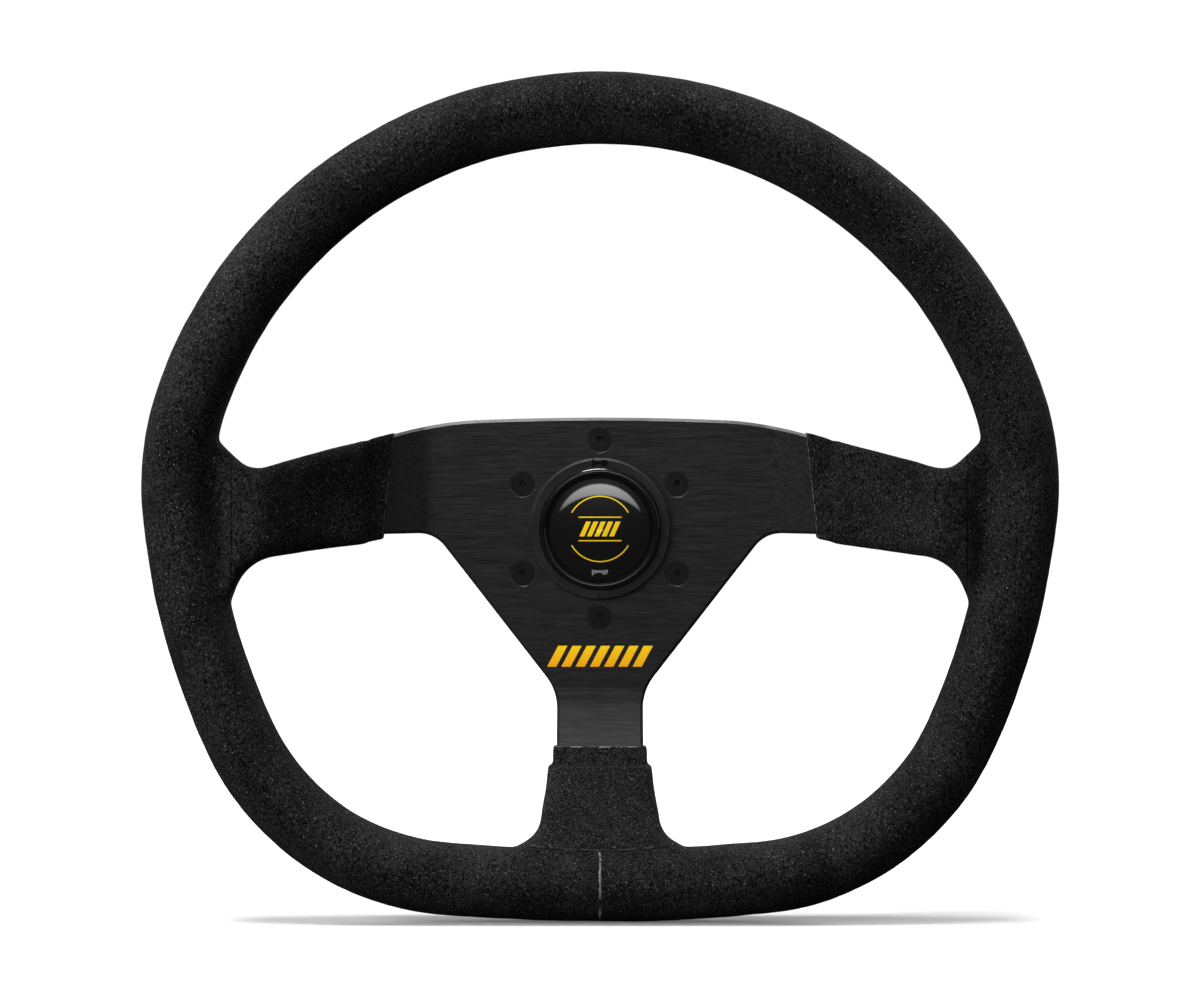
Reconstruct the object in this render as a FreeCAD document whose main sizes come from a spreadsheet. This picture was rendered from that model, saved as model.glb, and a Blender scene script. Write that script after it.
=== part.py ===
"""Quick release steering wheel: a dished three-spoke wheel, a suede grip, a horn button and a ball-lock hub.

Frame: the steering axis is Y, and the driver looks along +Y at the wheel. +Z is up and +X is to the driver's
right. The origin is on the steering axis where the hub's socket bore begins, just inside its lead-in chamfer.
All sizes are in millimetres, and angles are in degrees.
"""

import FreeCAD, Part
import math
import os
import re
import Sketcher
from FreeCAD import Placement, Rotation, Vector

DIMENSIONS = {
    # Grip centreline, one half, from the crown down: five tangent arcs, of which the last closes it
    "crown_height": 161.14, "crown_radius": 164.7, "crown_sweep": 70.3,
    "shoulder_radius": 106.1, "shoulder_sweep": 25.77,
    "flank_radius": 267.9, "flank_sweep": 18.66,
    "corner_radius": 93.7, "corner_sweep": 60.14,
    # Grip section
    "grip_half_width": 13.8, "grip_half_depth": 15.5, "suede": 1.2,
    "core_radius": 7.0, "core_wall": 1.5,
    # Spoke plate
    "hub_length": 62.0, "plate_thickness": 4.5, "dish": 39.25, "dish_angle": 33.0,
    "side_bend": 68.0, "foot_bend": 66.0, "bend_radius": 9.0,
    "plate_top": 43.8, "top_arc_radius": 1155.0, "brow_half_width": 49.5, "brow_height": 42.74,
    "brow_end": 78.95, "brow_end_height": 37.58, "brow_radius": 125.0,
    "spoke_tip": 157.0, "spoke_tip_top": 13.7, "spoke_under": -1.65,
    "throat_half_width": 65.1, "throat_fillet": 13.0,
    "foot_half_width": 16.9, "foot_top": -63.7, "foot_fillet": 21.0, "foot_tip": 132.0,
    "edge_chamfer": 1.2, "button_hole": 25.5,
    # Six wheel screws, M5 countersunk
    "bolt_circle": 35.0, "screw_shank": 2.45, "screw_hole": 2.75, "screw_head": 5.0, "head_sink": 0.25,
    "screw_length": 12.0, "hex_flats_half": 1.5, "hex_depth": 2.3, "tapped_hole": 2.5,
    # Side spoke pads and sleeves
    "hem_start_top": 80.2, "hem_start_low": 84.4, "hem_end_top": 89.0, "hem_end_low": 91.2,
    "hem_top": 37.9, "hem_low": -3.7, "hem": 1.5, "pad_start": 91.4, "pad_top": 34.7, "pad_low": -5.6,
    "pad_top_slope": 0.294, "pad_low_slope": 0.138, "pad_thin": 7.1, "pad_full": 10.6, "pad_round": 5.5,
    "upper_flare_x": 129.8, "upper_flare_z": 35.5, "upper_flare": 12.3,
    "lower_flare_x": 122.0, "lower_flare_z": -28.4, "lower_flare": 18.4,
    "root_x": 152.0, "root_top": 41.0, "root_low": -35.0, "sleeve_seam": 142.0,
    # Bottom spoke pad and sleeve
    "foot_hem_start": 84.3, "foot_hem_width": 18.3, "foot_pad_start": 92.0, "foot_pad_width": 20.0,
    "foot_pad_slope": 0.123, "foot_flare_x": 34.1, "foot_flare_z": 109.5, "foot_flare": 11.5,
    "foot_root": 128.0, "foot_root_width": 35.0, "foot_seam": 121.5,
    # Enamel bars let into the bottom of the plate
    "bars_height": -50.1, "bar_pitch": 5.6, "bar_width": 3.6, "bar_half_height": 4.1, "bar_lean": 2.2,
    "bar_depth": 0.4, "bar_proud": 0.15,
    # Hub body: flange, neck and barrel
    "flange_radius": 42.0, "flange_thickness": 9.0, "neck_radius": 30.0, "neck_end": 46.0,
    "barrel_radius": 20.0,
    "button_recess": 12.0, "sleeve_bore": 16.0, "sleeve_end": 20.5, "pilot_radius": 14.0, "pilot_length": 9.5,
    "ball_bore": 14.3, "mouth_chamfer": 1.0, "flange_bevel": 1.2, "circlip_groove": 18.75,
    # Lock balls and the collar over them
    "ball_radius": 4.0, "ball_plane": 15.0, "ball_seat": 16.0, "ball_travel": 2.1, "pocket_radius": 4.12,
    "pocket_lip": 3.6, "lip_height": 15.4, "ball_count": 6, "cam_gap": 0.1,
    "collar_travel": 6.0, "collar_bore": 20.1, "collar_back": 2.6, "lip_front": 4.6, "relief_front": 9.0,
    "spring_shoulder": 22.0, "spring_cavity": 25.2, "collar_front": 36.0,
    "collar_outer": 28.0, "collar_nose": 26.0, "grip_radius": 37.5, "grip_back": 29.5, "grip_root": 31.5,
    "flute_radius": 4.0, "flute_centre": 40.2, "flute_count": 20,
    "circlip_width": 1.4, "circlip_front": 1.1, "circlip_radius": 22.3, "circlip_gap": 3.0,
    "spring_wire": 0.9, "spring_mean": 22.8, "spring_turns": 5.0,
    # Splined sleeve and the ring that locks it
    "spline_major": 12.3, "spline_minor": 11.0, "spline_length": 18.0, "spline_count": 18,
    "tooth_root_half": 1.15, "tooth_tip_half": 0.75, "ring_thickness": 3.5, "ring_bore": 10.0,
    "ring_slot_half": 1.5,
    # Horn button
    "bezel_outer": 27.85, "bezel_inner": 24.15, "bezel_height": 2.2, "bezel_bevel": 0.8, "bezel_tail": 3.4,
    "notch_radius": 1.0, "notch_centre": 26.1, "cup_outer": 25.3, "cup_wall": 1.5, "cup_floor_depth": 16.2,
    "cup_floor": 1.6, "cap_radius": 23.9, "cap_crest": 22.4, "cap_crest_radius": 1.5,
    "cap_skirt": 23.5, "cap_skirt_depth": 6.0, "cap_wall": 1.6, "cap_step": 0.8, "cap_face_proud": 3.6,
    "cap_face_thickness": 2.0, "badge_radius": 19.7, "badge_edge": 0.5, "badge_dome": 1.9,
    "stem_radius": 2.9, "stem_groove": 2.2, "stem_depth": 18.9, "stem_hole": 3.1,
    "clip_radius": 4.6, "clip_thickness": 0.6, "contact_gap": 2.05,
    "contact_inner": 12.0, "contact_outer": 15.0, "contact_thickness": 0.8, "post_inner": 12.6,
    "post_outer": 14.4, "seat_inner": 5.2, "seat_outer": 8.6, "seat_thickness": 0.5,
    "blade_half_width": 3.15, "blade_thickness": 0.8, "blade_depth": 23.6, "blade_slot": 0.1,
    "coil_wire": 0.45, "coil_mean": 6.9, "coil_turns": 4.5,
}

# Places along the steering axis that several pieces share
PLATE_BACK = "-hub_length"
PLATE_FRONT = "-(hub_length + plate_thickness)"
PLATE_MID = "-(hub_length + plate_thickness / 2)"
RIM_PLANE = "-(hub_length + plate_thickness / 2 + dish)"
RECESS_FLOOR = "-(hub_length - button_recess)"
CUP_FLOOR = "-(hub_length + plate_thickness - cup_floor_depth)"
RING_FRONT = "-(sleeve_end + spline_length + ring_thickness)"

DRIVER_PLANE = Rotation(Vector(1, 0, 0), 90)
ACROSS_PATH = Rotation(Vector(1, 1, 1), 120)
FIRST_BOLT = Rotation(Vector(0, 1, 0), 30)
DOWNWARDS = Rotation(Vector(0, 1, 0), 90)

doc = FreeCAD.newDocument("steering_wheel")
sheet = doc.addObject("Spreadsheet::Sheet", "dims")
for row, (alias, number) in enumerate(DIMENSIONS.items(), start=1):
    sheet.set(f"A{row}", alias)
    sheet.set(f"B{row}", str(number))
    sheet.setAlias(f"B{row}", alias)
doc.recompute()

ALIAS = re.compile(r"\b(" + "|".join(sorted(DIMENSIONS, key=len, reverse=True)) + r")\b")


def bound(text):
    """An expression on the sheet's names, as FreeCAD reads it."""
    return ALIAS.sub(r"dims.\1", text)


def size(text):
    """The value of an expression on the sheet's names."""
    return float(sheet.evalExpression(bound(text)))


def bind(obj, **properties):
    """Sets each property from an expression, and keeps it bound to the sheet."""
    for name, text in properties.items():
        obj.setExpression(name, bound(text))


# ---------------------------------------------------------------- sketches


def pin_point(sketch, geometry, end, x, y):
    """Fixes one end of a sketch element at a place given by two expressions."""
    for kind, text, axis in (("DistanceX", x, -2), ("DistanceY", y, -1)):
        if text == "0":
            sketch.addConstraint(Sketcher.Constraint("PointOnObject", geometry, end, axis))
        else:
            index = sketch.addConstraint(Sketcher.Constraint(kind, -1, 1, geometry, end, size(text)))
            sketch.setExpression(f"Constraints[{index}]", bound(text))


def draw_outline(sketch, corners):
    """A closed outline. Each corner is (x, y), or (x, y, radius) where the edge that leaves it is an arc.

    A positive radius turns left along the outline, and a negative one turns right.
    """
    edges = []
    for here, there in zip(corners, corners[1:] + corners[:1]):
        start = Vector(size(here[0]), size(here[1]), 0)
        end = Vector(size(there[0]), size(there[1]), 0)
        if len(here) == 2:
            edges.append((sketch.addGeometry(Part.LineSegment(start, end), False), 1, 2))
            continue
        radius = size(here[2])
        chord = end - start
        rise = math.sqrt(max(0.0, radius * radius - chord.Length * chord.Length / 4))
        left = Vector(-chord.y, chord.x, 0).normalize()
        centre = (start + end) * 0.5 + left * math.copysign(rise, radius)
        first, last = (start, end) if radius > 0 else (end, start)
        from_angle = math.atan2(first.y - centre.y, first.x - centre.x)
        to_angle = math.atan2(last.y - centre.y, last.x - centre.x)
        circle = Part.Circle(centre, Vector(0, 0, 1), abs(radius))
        arc = sketch.addGeometry(Part.ArcOfCircle(circle, from_angle, to_angle), False)
        edges.append((arc, 1, 2) if radius > 0 else (arc, 2, 1))
        index = sketch.addConstraint(Sketcher.Constraint("Radius", arc, abs(radius)))
        sketch.setExpression(f"Constraints[{index}]", bound(f"abs({here[2]})"))
    for (edge, _, end), (following, begin, _) in zip(edges, edges[1:] + edges[:1]):
        sketch.addConstraint(Sketcher.Constraint("Coincident", edge, end, following, begin))
    for (edge, begin, _), corner in zip(edges, corners):
        pin_point(sketch, edge, begin, corner[0], corner[1])


def draw_circle(sketch, x, y, radius):
    """A circle with its centre and radius given by expressions."""
    circle = Part.Circle(Vector(size(x), size(y), 0), Vector(0, 0, 1), size(radius))
    edge = sketch.addGeometry(circle, False)
    pin_point(sketch, edge, 3, x, y)
    index = sketch.addConstraint(Sketcher.Constraint("Radius", edge, size(radius)))
    sketch.setExpression(f"Constraints[{index}]", bound(radius))


def new_body(label):
    body = doc.addObject("PartDesign::Body", label)
    body.Label = label
    return body


def plane_of(body, role):
    return next(f for f in body.Origin.OriginFeatures if f.Role == role)


def body_sketch(body, name, role, offset="0"):
    """A sketch on one of the body's own origin planes, moved along the plane's normal by offset."""
    sketch = body.newObject("Sketcher::SketchObject", name)
    sketch.AttachmentSupport = [(plane_of(body, role), "")]
    sketch.MapMode = "FlatFace"
    if offset != "0":
        sketch.AttachmentOffset = Placement(Vector(0, 0, size(offset)), Rotation())
        sketch.setExpression("AttachmentOffset.Base.z", bound(offset))
    return sketch


def loose_sketch(name, rotation, *outlines):
    """A sketch outside any body, for the Part tools."""
    sketch = doc.addObject("Sketcher::SketchObject", name)
    sketch.Placement = Placement(Vector(0, 0, 0), rotation)
    for corners in outlines:
        draw_outline(sketch, corners)
    return sketch


# ---------------------------------------------------------------- features


def turn(body, name, corners, kind="PartDesign::Revolution"):
    """Turns (radius, y) corners round the steering axis: a Revolution adds and a Groove cuts."""
    sketch = body_sketch(body, f"{name}_profile", "XY_Plane")
    draw_outline(sketch, corners)
    feature = body.newObject(kind, name)
    feature.Profile = sketch
    feature.ReferenceAxis = (sketch, ["V_Axis"])
    feature.Angle = 360
    doc.recompute()
    return feature


def turned_body(label, corners):
    body = new_body(label)
    turn(body, f"{label}_turning", corners)
    return body


def cut_along_y(body, name, draw, start, length, add=False):
    """Cuts (or adds) a shape drawn on the XZ plane, from y = start towards the column for length."""
    sketch = body_sketch(body, f"{name}_outline", "XZ_Plane", f"-({start})")
    draw(sketch)
    feature = body.newObject("PartDesign::Pad" if add else "PartDesign::Pocket", name)
    feature.Profile = sketch
    feature.Type = 0
    bind(feature, Length=length)
    feature.Reversed = add
    doc.recompute()
    return feature


def turn_at_bolt(body, name, corners):
    """Turns (radius, y) corners round a line at the bolt circle, parallel to the steering axis."""
    sketch = body_sketch(body, f"{name}_profile", "XY_Plane")
    draw_outline(sketch, [(f"bolt_circle + {radius}", y) for radius, y in corners])
    feature = body.newObject("PartDesign::Revolution", name)
    feature.Profile = sketch
    feature.ReferenceAxis = (sketch, [f"Edge{len(corners)}"])
    feature.Angle = 360
    doc.recompute()
    return feature


def pattern_round_axis(body, name, features, count):
    """Repeats features round the steering axis."""
    pattern = body.newObject("PartDesign::PolarPattern", name)
    pattern.Originals = features
    pattern.Axis = (plane_of(body, "Y_Axis"), [""])
    pattern.Angle = 360
    pattern.Occurrences = int(count)
    body.Tip = pattern
    doc.recompute()
    return pattern


def part_feature(label, shape, placement=None):
    feature = doc.addObject("Part::Feature", label)
    feature.Label = label
    feature.Shape = shape
    if placement:
        feature.Placement = placement
    return feature


def boolean(kind, label, parts):
    """A Part boolean: a Cut takes two parts, and a MultiFuse or MultiCommon takes several."""
    made = doc.addObject(f"Part::{kind}", label)
    made.Label = label
    if kind == "Cut":
        made.Base, made.Tool = parts
    else:
        made.Shapes = parts
    return made


def prism(name, sketch, direction, length):
    """Extrudes a loose sketch both ways along a direction."""
    made = doc.addObject("Part::Extrusion", name)
    made.Base = sketch
    made.DirMode = "Custom"
    made.Dir = direction
    made.Symmetric = True
    made.Solid = True
    bind(made, LengthFwd=length)
    return made


def block(name, corner, sizes):
    """A box from its low corner and its sizes, each given by three expressions."""
    made = doc.addObject("Part::Box", name)
    bind(made, Length=sizes[0], Width=sizes[1], Height=sizes[2])
    for axis, text in zip("xyz", corner):
        made.setExpression(f"Placement.Base.{axis}", bound(text))
    return made


def mirrored(label, source):
    made = doc.addObject("Part::Mirroring", label)
    made.Label = label
    made.Source = source
    made.Normal = Vector(1, 0, 0)
    return made


# ---------------------------------------------------------------- grip ring


def grip_path():
    """The grip's centreline: five tangent arcs from the crown to the bottom, and their mirror image."""
    arcs = []
    place = Vector(0, 0, size("crown_height"))
    heading = 0.0
    for name in ("crown", "shoulder", "flank", "corner"):
        radius = size(f"{name}_radius")
        sweep = math.radians(size(f"{name}_sweep"))
        centre = place - Vector(math.sin(heading), 0, math.cos(heading)) * radius
        points = [
            centre + Vector(math.sin(heading + turned), 0, math.cos(heading + turned)) * radius
            for turned in (0, sweep / 2, sweep)
        ]
        arcs.append(points)
        place = points[-1]
        heading += sweep
    rest = math.pi - heading
    bottom_radius = place.x / math.sin(rest)
    centre = place - Vector(math.sin(heading), 0, math.cos(heading)) * bottom_radius
    arcs.append([
        centre + Vector(math.sin(heading + turned), 0, math.cos(heading + turned)) * bottom_radius
        for turned in (0, rest / 2, rest)
    ])
    mirror = [[Vector(-p.x, 0, p.z) for p in reversed(points)] for points in reversed(arcs)]
    wire = Part.Wire([Part.Arc(*points).toShape() for points in arcs + mirror])
    return part_feature("grip_path", wire, Placement(Vector(0, size(RIM_PLANE), 0), Rotation()))


def swept_oval(name, half_width, half_depth):
    """A solid ring of oval section along the grip's centreline."""
    oval = doc.addObject("Part::Ellipse", f"{name}_oval")
    oval.Placement = Placement(Vector(0, size(RIM_PLANE), size("crown_height")), ACROSS_PATH)
    bind(oval, MajorRadius=half_depth, MinorRadius=half_width)
    ring = doc.addObject("Part::Sweep", name)
    ring.Sections = [oval]
    ring.Spine = (path, [f"Edge{n}" for n in range(1, len(path.Shape.Edges) + 1)])
    ring.Solid = True
    ring.Frenet = False
    return ring


def swept_circle(name, radius):
    return swept_oval(name, radius, f"{radius} + 0.0001")


path = grip_path()
grip_outside = swept_oval("grip_outside", "grip_half_width", "grip_half_depth")
foam_outside = swept_oval("foam_outside", "grip_half_width - suede", "grip_half_depth - suede")
core_outside = swept_circle("core_outside", "core_radius")
core_inside = swept_circle("core_inside", "core_radius - core_wall")
rim_core_tube = boolean("Cut", "rim_core_tube", [core_outside, core_inside])


# ---------------------------------------------------------------- spoke plate


def bent_sheet(name, bend, tip, rotation):
    """The plate's section through a spoke: flat at the hub, sloping to the driver, and flat again at the rim.

    Drawn from the axis outwards with the driver's side at -Y.
    """
    half = "plate_thickness / 2"
    shift = f"{half} * tan(dish_angle / 2)"
    rim_bend = f"{bend} + dish / tan(dish_angle)"
    corners = [
        ("0", PLATE_FRONT),
        (f"{bend} - {shift}", PLATE_FRONT),
        (f"{rim_bend} - {shift}", f"{RIM_PLANE} - {half}"),
        (tip, f"{RIM_PLANE} - {half}"),
        (tip, f"{RIM_PLANE} + {half}"),
        (f"{rim_bend} + {shift}", f"{RIM_PLANE} + {half}"),
        (f"{bend} + {shift}", PLATE_BACK),
        ("0", PLATE_BACK),
    ]
    body = new_body(name)
    sketch = body_sketch(body, f"{name}_profile", "XY_Plane")
    draw_outline(sketch, corners)
    pad = body.newObject("PartDesign::Pad", f"{name}_pad")
    pad.Profile = sketch
    pad.Midplane = True
    bind(pad, Length="plate_top * 4")
    doc.recompute()
    for number, (corner, radius) in enumerate(
        ((1, "bend_radius"), (5, "bend_radius"), (2, "bend_radius + plate_thickness"),
         (6, "bend_radius + plate_thickness"))
    ):
        place = [size(text) for text in corners[corner]]
        edge = next(
            f"Edge{n}" for n, e in enumerate(body.Shape.Edges, 1)
            if all(abs(v.X - place[0]) < 0.01 and abs(v.Y - place[1]) < 0.01 for v in e.Vertexes)
        )
        before = body.Tip
        fillet = body.newObject("PartDesign::Fillet", f"{name}_bend_{number}")
        fillet.Base = (before, [edge])
        bind(fillet, Radius=radius)
        doc.recompute()
    body.Placement = Placement(Vector(0, 0, 0), rotation)
    return body


def plate_blank():
    """The plate's outline seen from the driver's seat, through the whole depth of the dish."""
    half = [
        ("-brow_half_width", "brow_height", "-top_arc_radius"),
        ("brow_half_width", "brow_height", "-brow_radius"),
        ("brow_end", "brow_end_height"),
        ("spoke_tip", "spoke_tip_top"),
        ("spoke_tip", "spoke_under - 1.5"),
        ("throat_half_width", "spoke_under"),
        ("foot_half_width", "foot_top"),
        ("foot_half_width", "-foot_tip"),
    ]
    left = [(f"-({x[0]})", x[1]) for x in reversed(half[2:])]
    left[-1] = left[-1] + ("-brow_radius",)
    body = new_body("plate_blank")
    sketch = body_sketch(body, "plate_blank_outline", "XZ_Plane")
    draw_outline(sketch, half + left)
    pad = body.newObject("PartDesign::Pad", "plate_blank_pad")
    pad.Profile = sketch
    bind(pad, Length="hub_length + dish + plate_thickness * 4")
    doc.recompute()
    fillets = (
        ("throat", "throat_half_width", "spoke_under", "throat_fillet"),
        ("foot", "foot_half_width", "foot_top", "foot_fillet"),
    )
    for name, x, z, radius in fillets:
        edges = [
            f"Edge{n}" for n, e in enumerate(body.Shape.Edges, 1)
            if all(abs(abs(v.X) - size(x)) < 0.01 and abs(v.Z - size(z)) < 0.01 for v in e.Vertexes)
        ]
        before = body.Tip
        fillet = body.newObject("PartDesign::Fillet", f"plate_{name}_fillet")
        fillet.Base = (before, edges)
        bind(fillet, Radius=radius)
        doc.recompute()
    return body


def spoke_plate():
    """Plate: the outline cut from the three bent sheets, with its holes and its front edges chamfered."""
    blank = plate_blank()
    right = bent_sheet("right_sheet", "side_bend", "spoke_tip", Rotation())
    left = mirrored("left_sheet", right)
    foot = bent_sheet("foot_sheet", "foot_bend", "foot_tip", DOWNWARDS)
    below = block("below_hub", ("-plate_top * 2", "-hub_length * 3", "-(foot_tip + foot_bend - 8)"),
                  ("plate_top * 4", "hub_length * 3", "foot_tip"))
    sides = boolean("MultiFuse", "side_sheets", [right, left])
    upper = boolean("Cut", "upper_sheet", [sides, below])
    lower = boolean("MultiCommon", "lower_sheet", [foot, below])
    sheets = boolean("MultiFuse", "bent_sheets", [upper, lower])
    flat = boolean("MultiCommon", "plate_flat", [blank, sheets])
    flat.Refine = True
    doc.recompute()
    edges = front_edges(flat.Shape)
    chamfered = doc.addObject("Part::Chamfer", "plate_chamfered")
    chamfered.Base = flat
    chamfer = size("edge_chamfer")
    chamfered.Edges = [(n, chamfer, chamfer) for n in edges]
    doc.recompute()
    holes = plate_holes()
    tools = boolean("MultiFuse", "plate_tools", [holes, enamel_bars, core_outside])
    return boolean("Cut", "spoke_plate", [chamfered, tools])


def front_edges(shape):
    """The edges of the plate's outline on the side that faces the driver."""
    found = []
    for number, edge in enumerate(shape.Edges, 1):
        middle = edge.valueAt((edge.FirstParameter + edge.LastParameter) / 2)
        faces = shape.ancestorsOfType(edge, Part.Face)
        normals = []
        for face in faces:
            u, v = face.Surface.parameter(middle)
            normals.append(face.normalAt(u, v))
        walls = [n for n in normals if abs(n.y) < 0.02]
        fronts = [n for n in normals if n.y < -0.5]
        if len(walls) == 1 and len(fronts) == 1 and middle.z > -size("foot_tip") + 2 \
                and abs(middle.x) < size("spoke_tip") - 2:
            found.append(number)
    return found


def plate_holes():
    """The horn button's hole and the six countersunk screw holes."""
    button = turned_body("button_hole_tool", [
        ("0", f"{PLATE_FRONT} - 5"), ("button_hole", f"{PLATE_FRONT} - 5"),
        ("button_hole", f"{PLATE_BACK} + 5"), ("0", f"{PLATE_BACK} + 5"),
    ])
    sink_top = "screw_head + head_sink"
    screws = new_body("screw_hole_tool")
    hole = turn_at_bolt(screws, "countersink", [
        ("0", f"{PLATE_FRONT} - 5"), (sink_top, f"{PLATE_FRONT} - 5"), (sink_top, PLATE_FRONT),
        ("screw_hole", f"{PLATE_FRONT} + {sink_top} - screw_hole"),
        ("screw_hole", f"{PLATE_BACK} + 5"), ("0", f"{PLATE_BACK} + 5"),
    ])
    pattern_round_axis(screws, "countersinks", [hole], 6)
    screws.Placement = Placement(Vector(0, 0, 0), FIRST_BOLT)
    return boolean("MultiFuse", "plate_holes", [button, screws])


# ---------------------------------------------------------------- padded spokes


def sheet_middle(bend, out):
    """Where the middle of the plate's thickness lies at a distance out along a spoke."""
    return f"max({PLATE_MID} - (({out}) - {bend}) * tan(dish_angle); {RIM_PLANE})"


def hem_band(name, bend, start, end, outline, rotation, swing):
    """The flat hem: one folded thickness of suede on each side of the plate."""
    half = "(plate_thickness / 2 / cos(dish_angle) + hem)"
    section = loose_sketch(f"{name}_section", rotation, [
        (start, f"{sheet_middle(bend, start)} - {half}"), (end, f"{sheet_middle(bend, end)} - {half}"),
        (end, f"{sheet_middle(bend, end)} + {half}"), (start, f"{sheet_middle(bend, start)} + {half}"),
    ])
    plan = loose_sketch(f"{name}_outline", DRIVER_PLANE, outline)
    return boolean("MultiCommon", name, [
        prism(f"{name}_plan", plan, Vector(0, 1, 0), "hub_length * 6"),
        prism(f"{name}_sheet", section, swing, "hub_length * 6"),
    ])


def pad_station(name, bend, start, out, low, high, inset, rotation):
    """One rounded section across a padded spoke, at a distance out from the axis."""
    grown = f"min(1; (({out}) - {start}) / ({bend} + dish / tan(dish_angle) - {start}))"
    half = f"(pad_thin + (pad_full - pad_thin) * {grown} - {inset})"
    middle = sheet_middle(bend, out)
    front, back = f"{middle} - {half}", f"{middle} + {half}"
    low, high = f"({low}) + {inset}", f"({high}) - {inset}"
    corner = f"(pad_round - {inset})"
    place = rotation.multVec(Vector(size(out), 0, 0))
    sketch = loose_sketch(name, rotation.multiply(ACROSS_PATH), [
        (f"{front} + {corner}", low), (f"{back} - {corner}", low, corner),
        (back, f"{low} + {corner}"), (back, f"{high} - {corner}", corner),
        (f"{back} - {corner}", high), (f"{front} + {corner}", high, corner),
        (front, f"{high} - {corner}"), (front, f"{low} + {corner}", corner),
    ])
    sketch.Placement.Base = place
    return sketch


def padded_spoke(name, bend, start, stations, inset, rotation):
    """A spoke's padding: one smooth loft through its stations of (distance out, low side, high side)."""
    loft = doc.addObject("Part::Loft", name)
    loft.Sections = [
        pad_station(f"{name}_{number}", bend, start, out, low, high, inset, rotation)
        for number, (out, low, high) in enumerate(stations)
    ]
    loft.Solid = True
    loft.Ruled = False
    loft.MaxDegree = 3
    return loft


def side_top(out):
    return f"(pad_top - pad_top_slope * (({out}) - pad_start))"


def side_low(out):
    return f"(pad_low - pad_low_slope * (({out}) - pad_start))"


def upper_flare(out):
    return f"(upper_flare_z - sqrt(upper_flare ^ 2 - (({out}) - upper_flare_x) ^ 2))"


def lower_flare(out):
    return f"(lower_flare_z + sqrt(lower_flare ^ 2 - (({out}) - lower_flare_x) ^ 2))"


def foot_side(out):
    return f"(foot_pad_width + foot_pad_slope * (({out}) - foot_pad_start))"


def foot_flare(out):
    return f"(foot_flare_x - sqrt(foot_flare ^ 2 - (({out}) - foot_flare_z) ^ 2))"


def side_stations(first):
    """The side spoke from its hem to its root inside the grip, with a flare on each side near the grip."""
    lines = [
        (out, side_low(out), side_top(out))
        for out in (first, *(f"pad_start + {step}" for step in (4, 9, 15, 22, 30)))
    ]
    ease = [("pad_start + 38", lower_flare("pad_start + 38"), side_top("pad_start + 38"))]
    flares = [
        (out, lower_flare(out), upper_flare(out))
        for out in ("upper_flare_x + 3.5", "upper_flare_x + 7", "upper_flare_x + 9.3")
    ]
    return lines + ease + flares + [("root_x", "root_low", "root_top")]


def foot_stations(first):
    """The bottom spoke from its hem to its root inside the grip."""
    lines = [
        (out, f"-{foot_side(out)}", foot_side(out))
        for out in (first, "foot_pad_start + 4", "foot_pad_start + 10")
    ]
    flares = [
        (out, f"-{foot_flare(out)}", foot_flare(out))
        for out in ("foot_flare_z + 0.5", "foot_flare_z + 4.5", "foot_flare_z + 8", "foot_flare_z + 10.5")
    ]
    return lines + flares + [("foot_root", "-foot_root_width", "foot_root_width")]


side_pad = padded_spoke("side_pad", "side_bend", "pad_start", side_stations("pad_start"), "0", Rotation())
side_foam = padded_spoke("side_foam", "side_bend", "pad_start", side_stations("pad_start + suede"), "suede",
                         Rotation())
foot_pad = padded_spoke("foot_pad", "foot_bend", "foot_pad_start", foot_stations("foot_pad_start"), "0",
                        DOWNWARDS)
foot_foam = padded_spoke("foot_foam", "foot_bend", "foot_pad_start",
                         foot_stations("foot_pad_start + suede"), "suede", DOWNWARDS)
side_hem = hem_band("side_hem", "side_bend", "hem_start_top - 3", "pad_start + 1.5", [
    ("hem_start_top", "hem_top"), ("hem_end_top", "pad_top + 0.7"), ("pad_start + 1.5", "pad_top - 3"),
    ("pad_start + 1.5", "pad_low + 3"), ("hem_end_low", "pad_low + 0.5"), ("hem_start_low", "hem_low"),
], Rotation(), Vector(0, 0, 1))
foot_hem = hem_band("foot_hem", "foot_bend", "foot_hem_start - 3", "foot_pad_start + 1.5", [
    ("-foot_hem_width", "-foot_hem_start"), ("foot_hem_width", "-foot_hem_start"),
    ("foot_hem_width", "-foot_pad_start - 1.5"), ("-foot_hem_width", "-foot_pad_start - 1.5"),
], DOWNWARDS, Vector(1, 0, 0))
side_outside = boolean("MultiFuse", "side_outside", [side_pad, side_hem])
foot_outside = boolean("MultiFuse", "foot_outside", [foot_pad, foot_hem])
left_outside = mirrored("left_outside", side_outside)
left_foam = mirrored("left_foam", side_foam)

enamel_bars = prism("enamel_bars", loose_sketch("bars_outline", DRIVER_PLANE, *[
    [
        (f"{n} * bar_pitch - bar_width / 2 - bar_lean", "bars_height - bar_half_height"),
        (f"{n} * bar_pitch + bar_width / 2 - bar_lean", "bars_height - bar_half_height"),
        (f"{n} * bar_pitch + bar_width / 2 + bar_lean", "bars_height + bar_half_height"),
        (f"{n} * bar_pitch - bar_width / 2 + bar_lean", "bars_height + bar_half_height"),
    ]
    for n in range(-3, 4)
]), Vector(0, 1, 0), "bar_depth + bar_proud")
enamel_bars.Label = "spoke_inlay"
enamel_bars.setExpression("Placement.Base.y", bound(f"{PLATE_FRONT} + (bar_depth - bar_proud) / 2"))
doc.recompute()
plate = spoke_plate()
doc.recompute()

# ---------------------------------------------------------------- grip and sleeves

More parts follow.
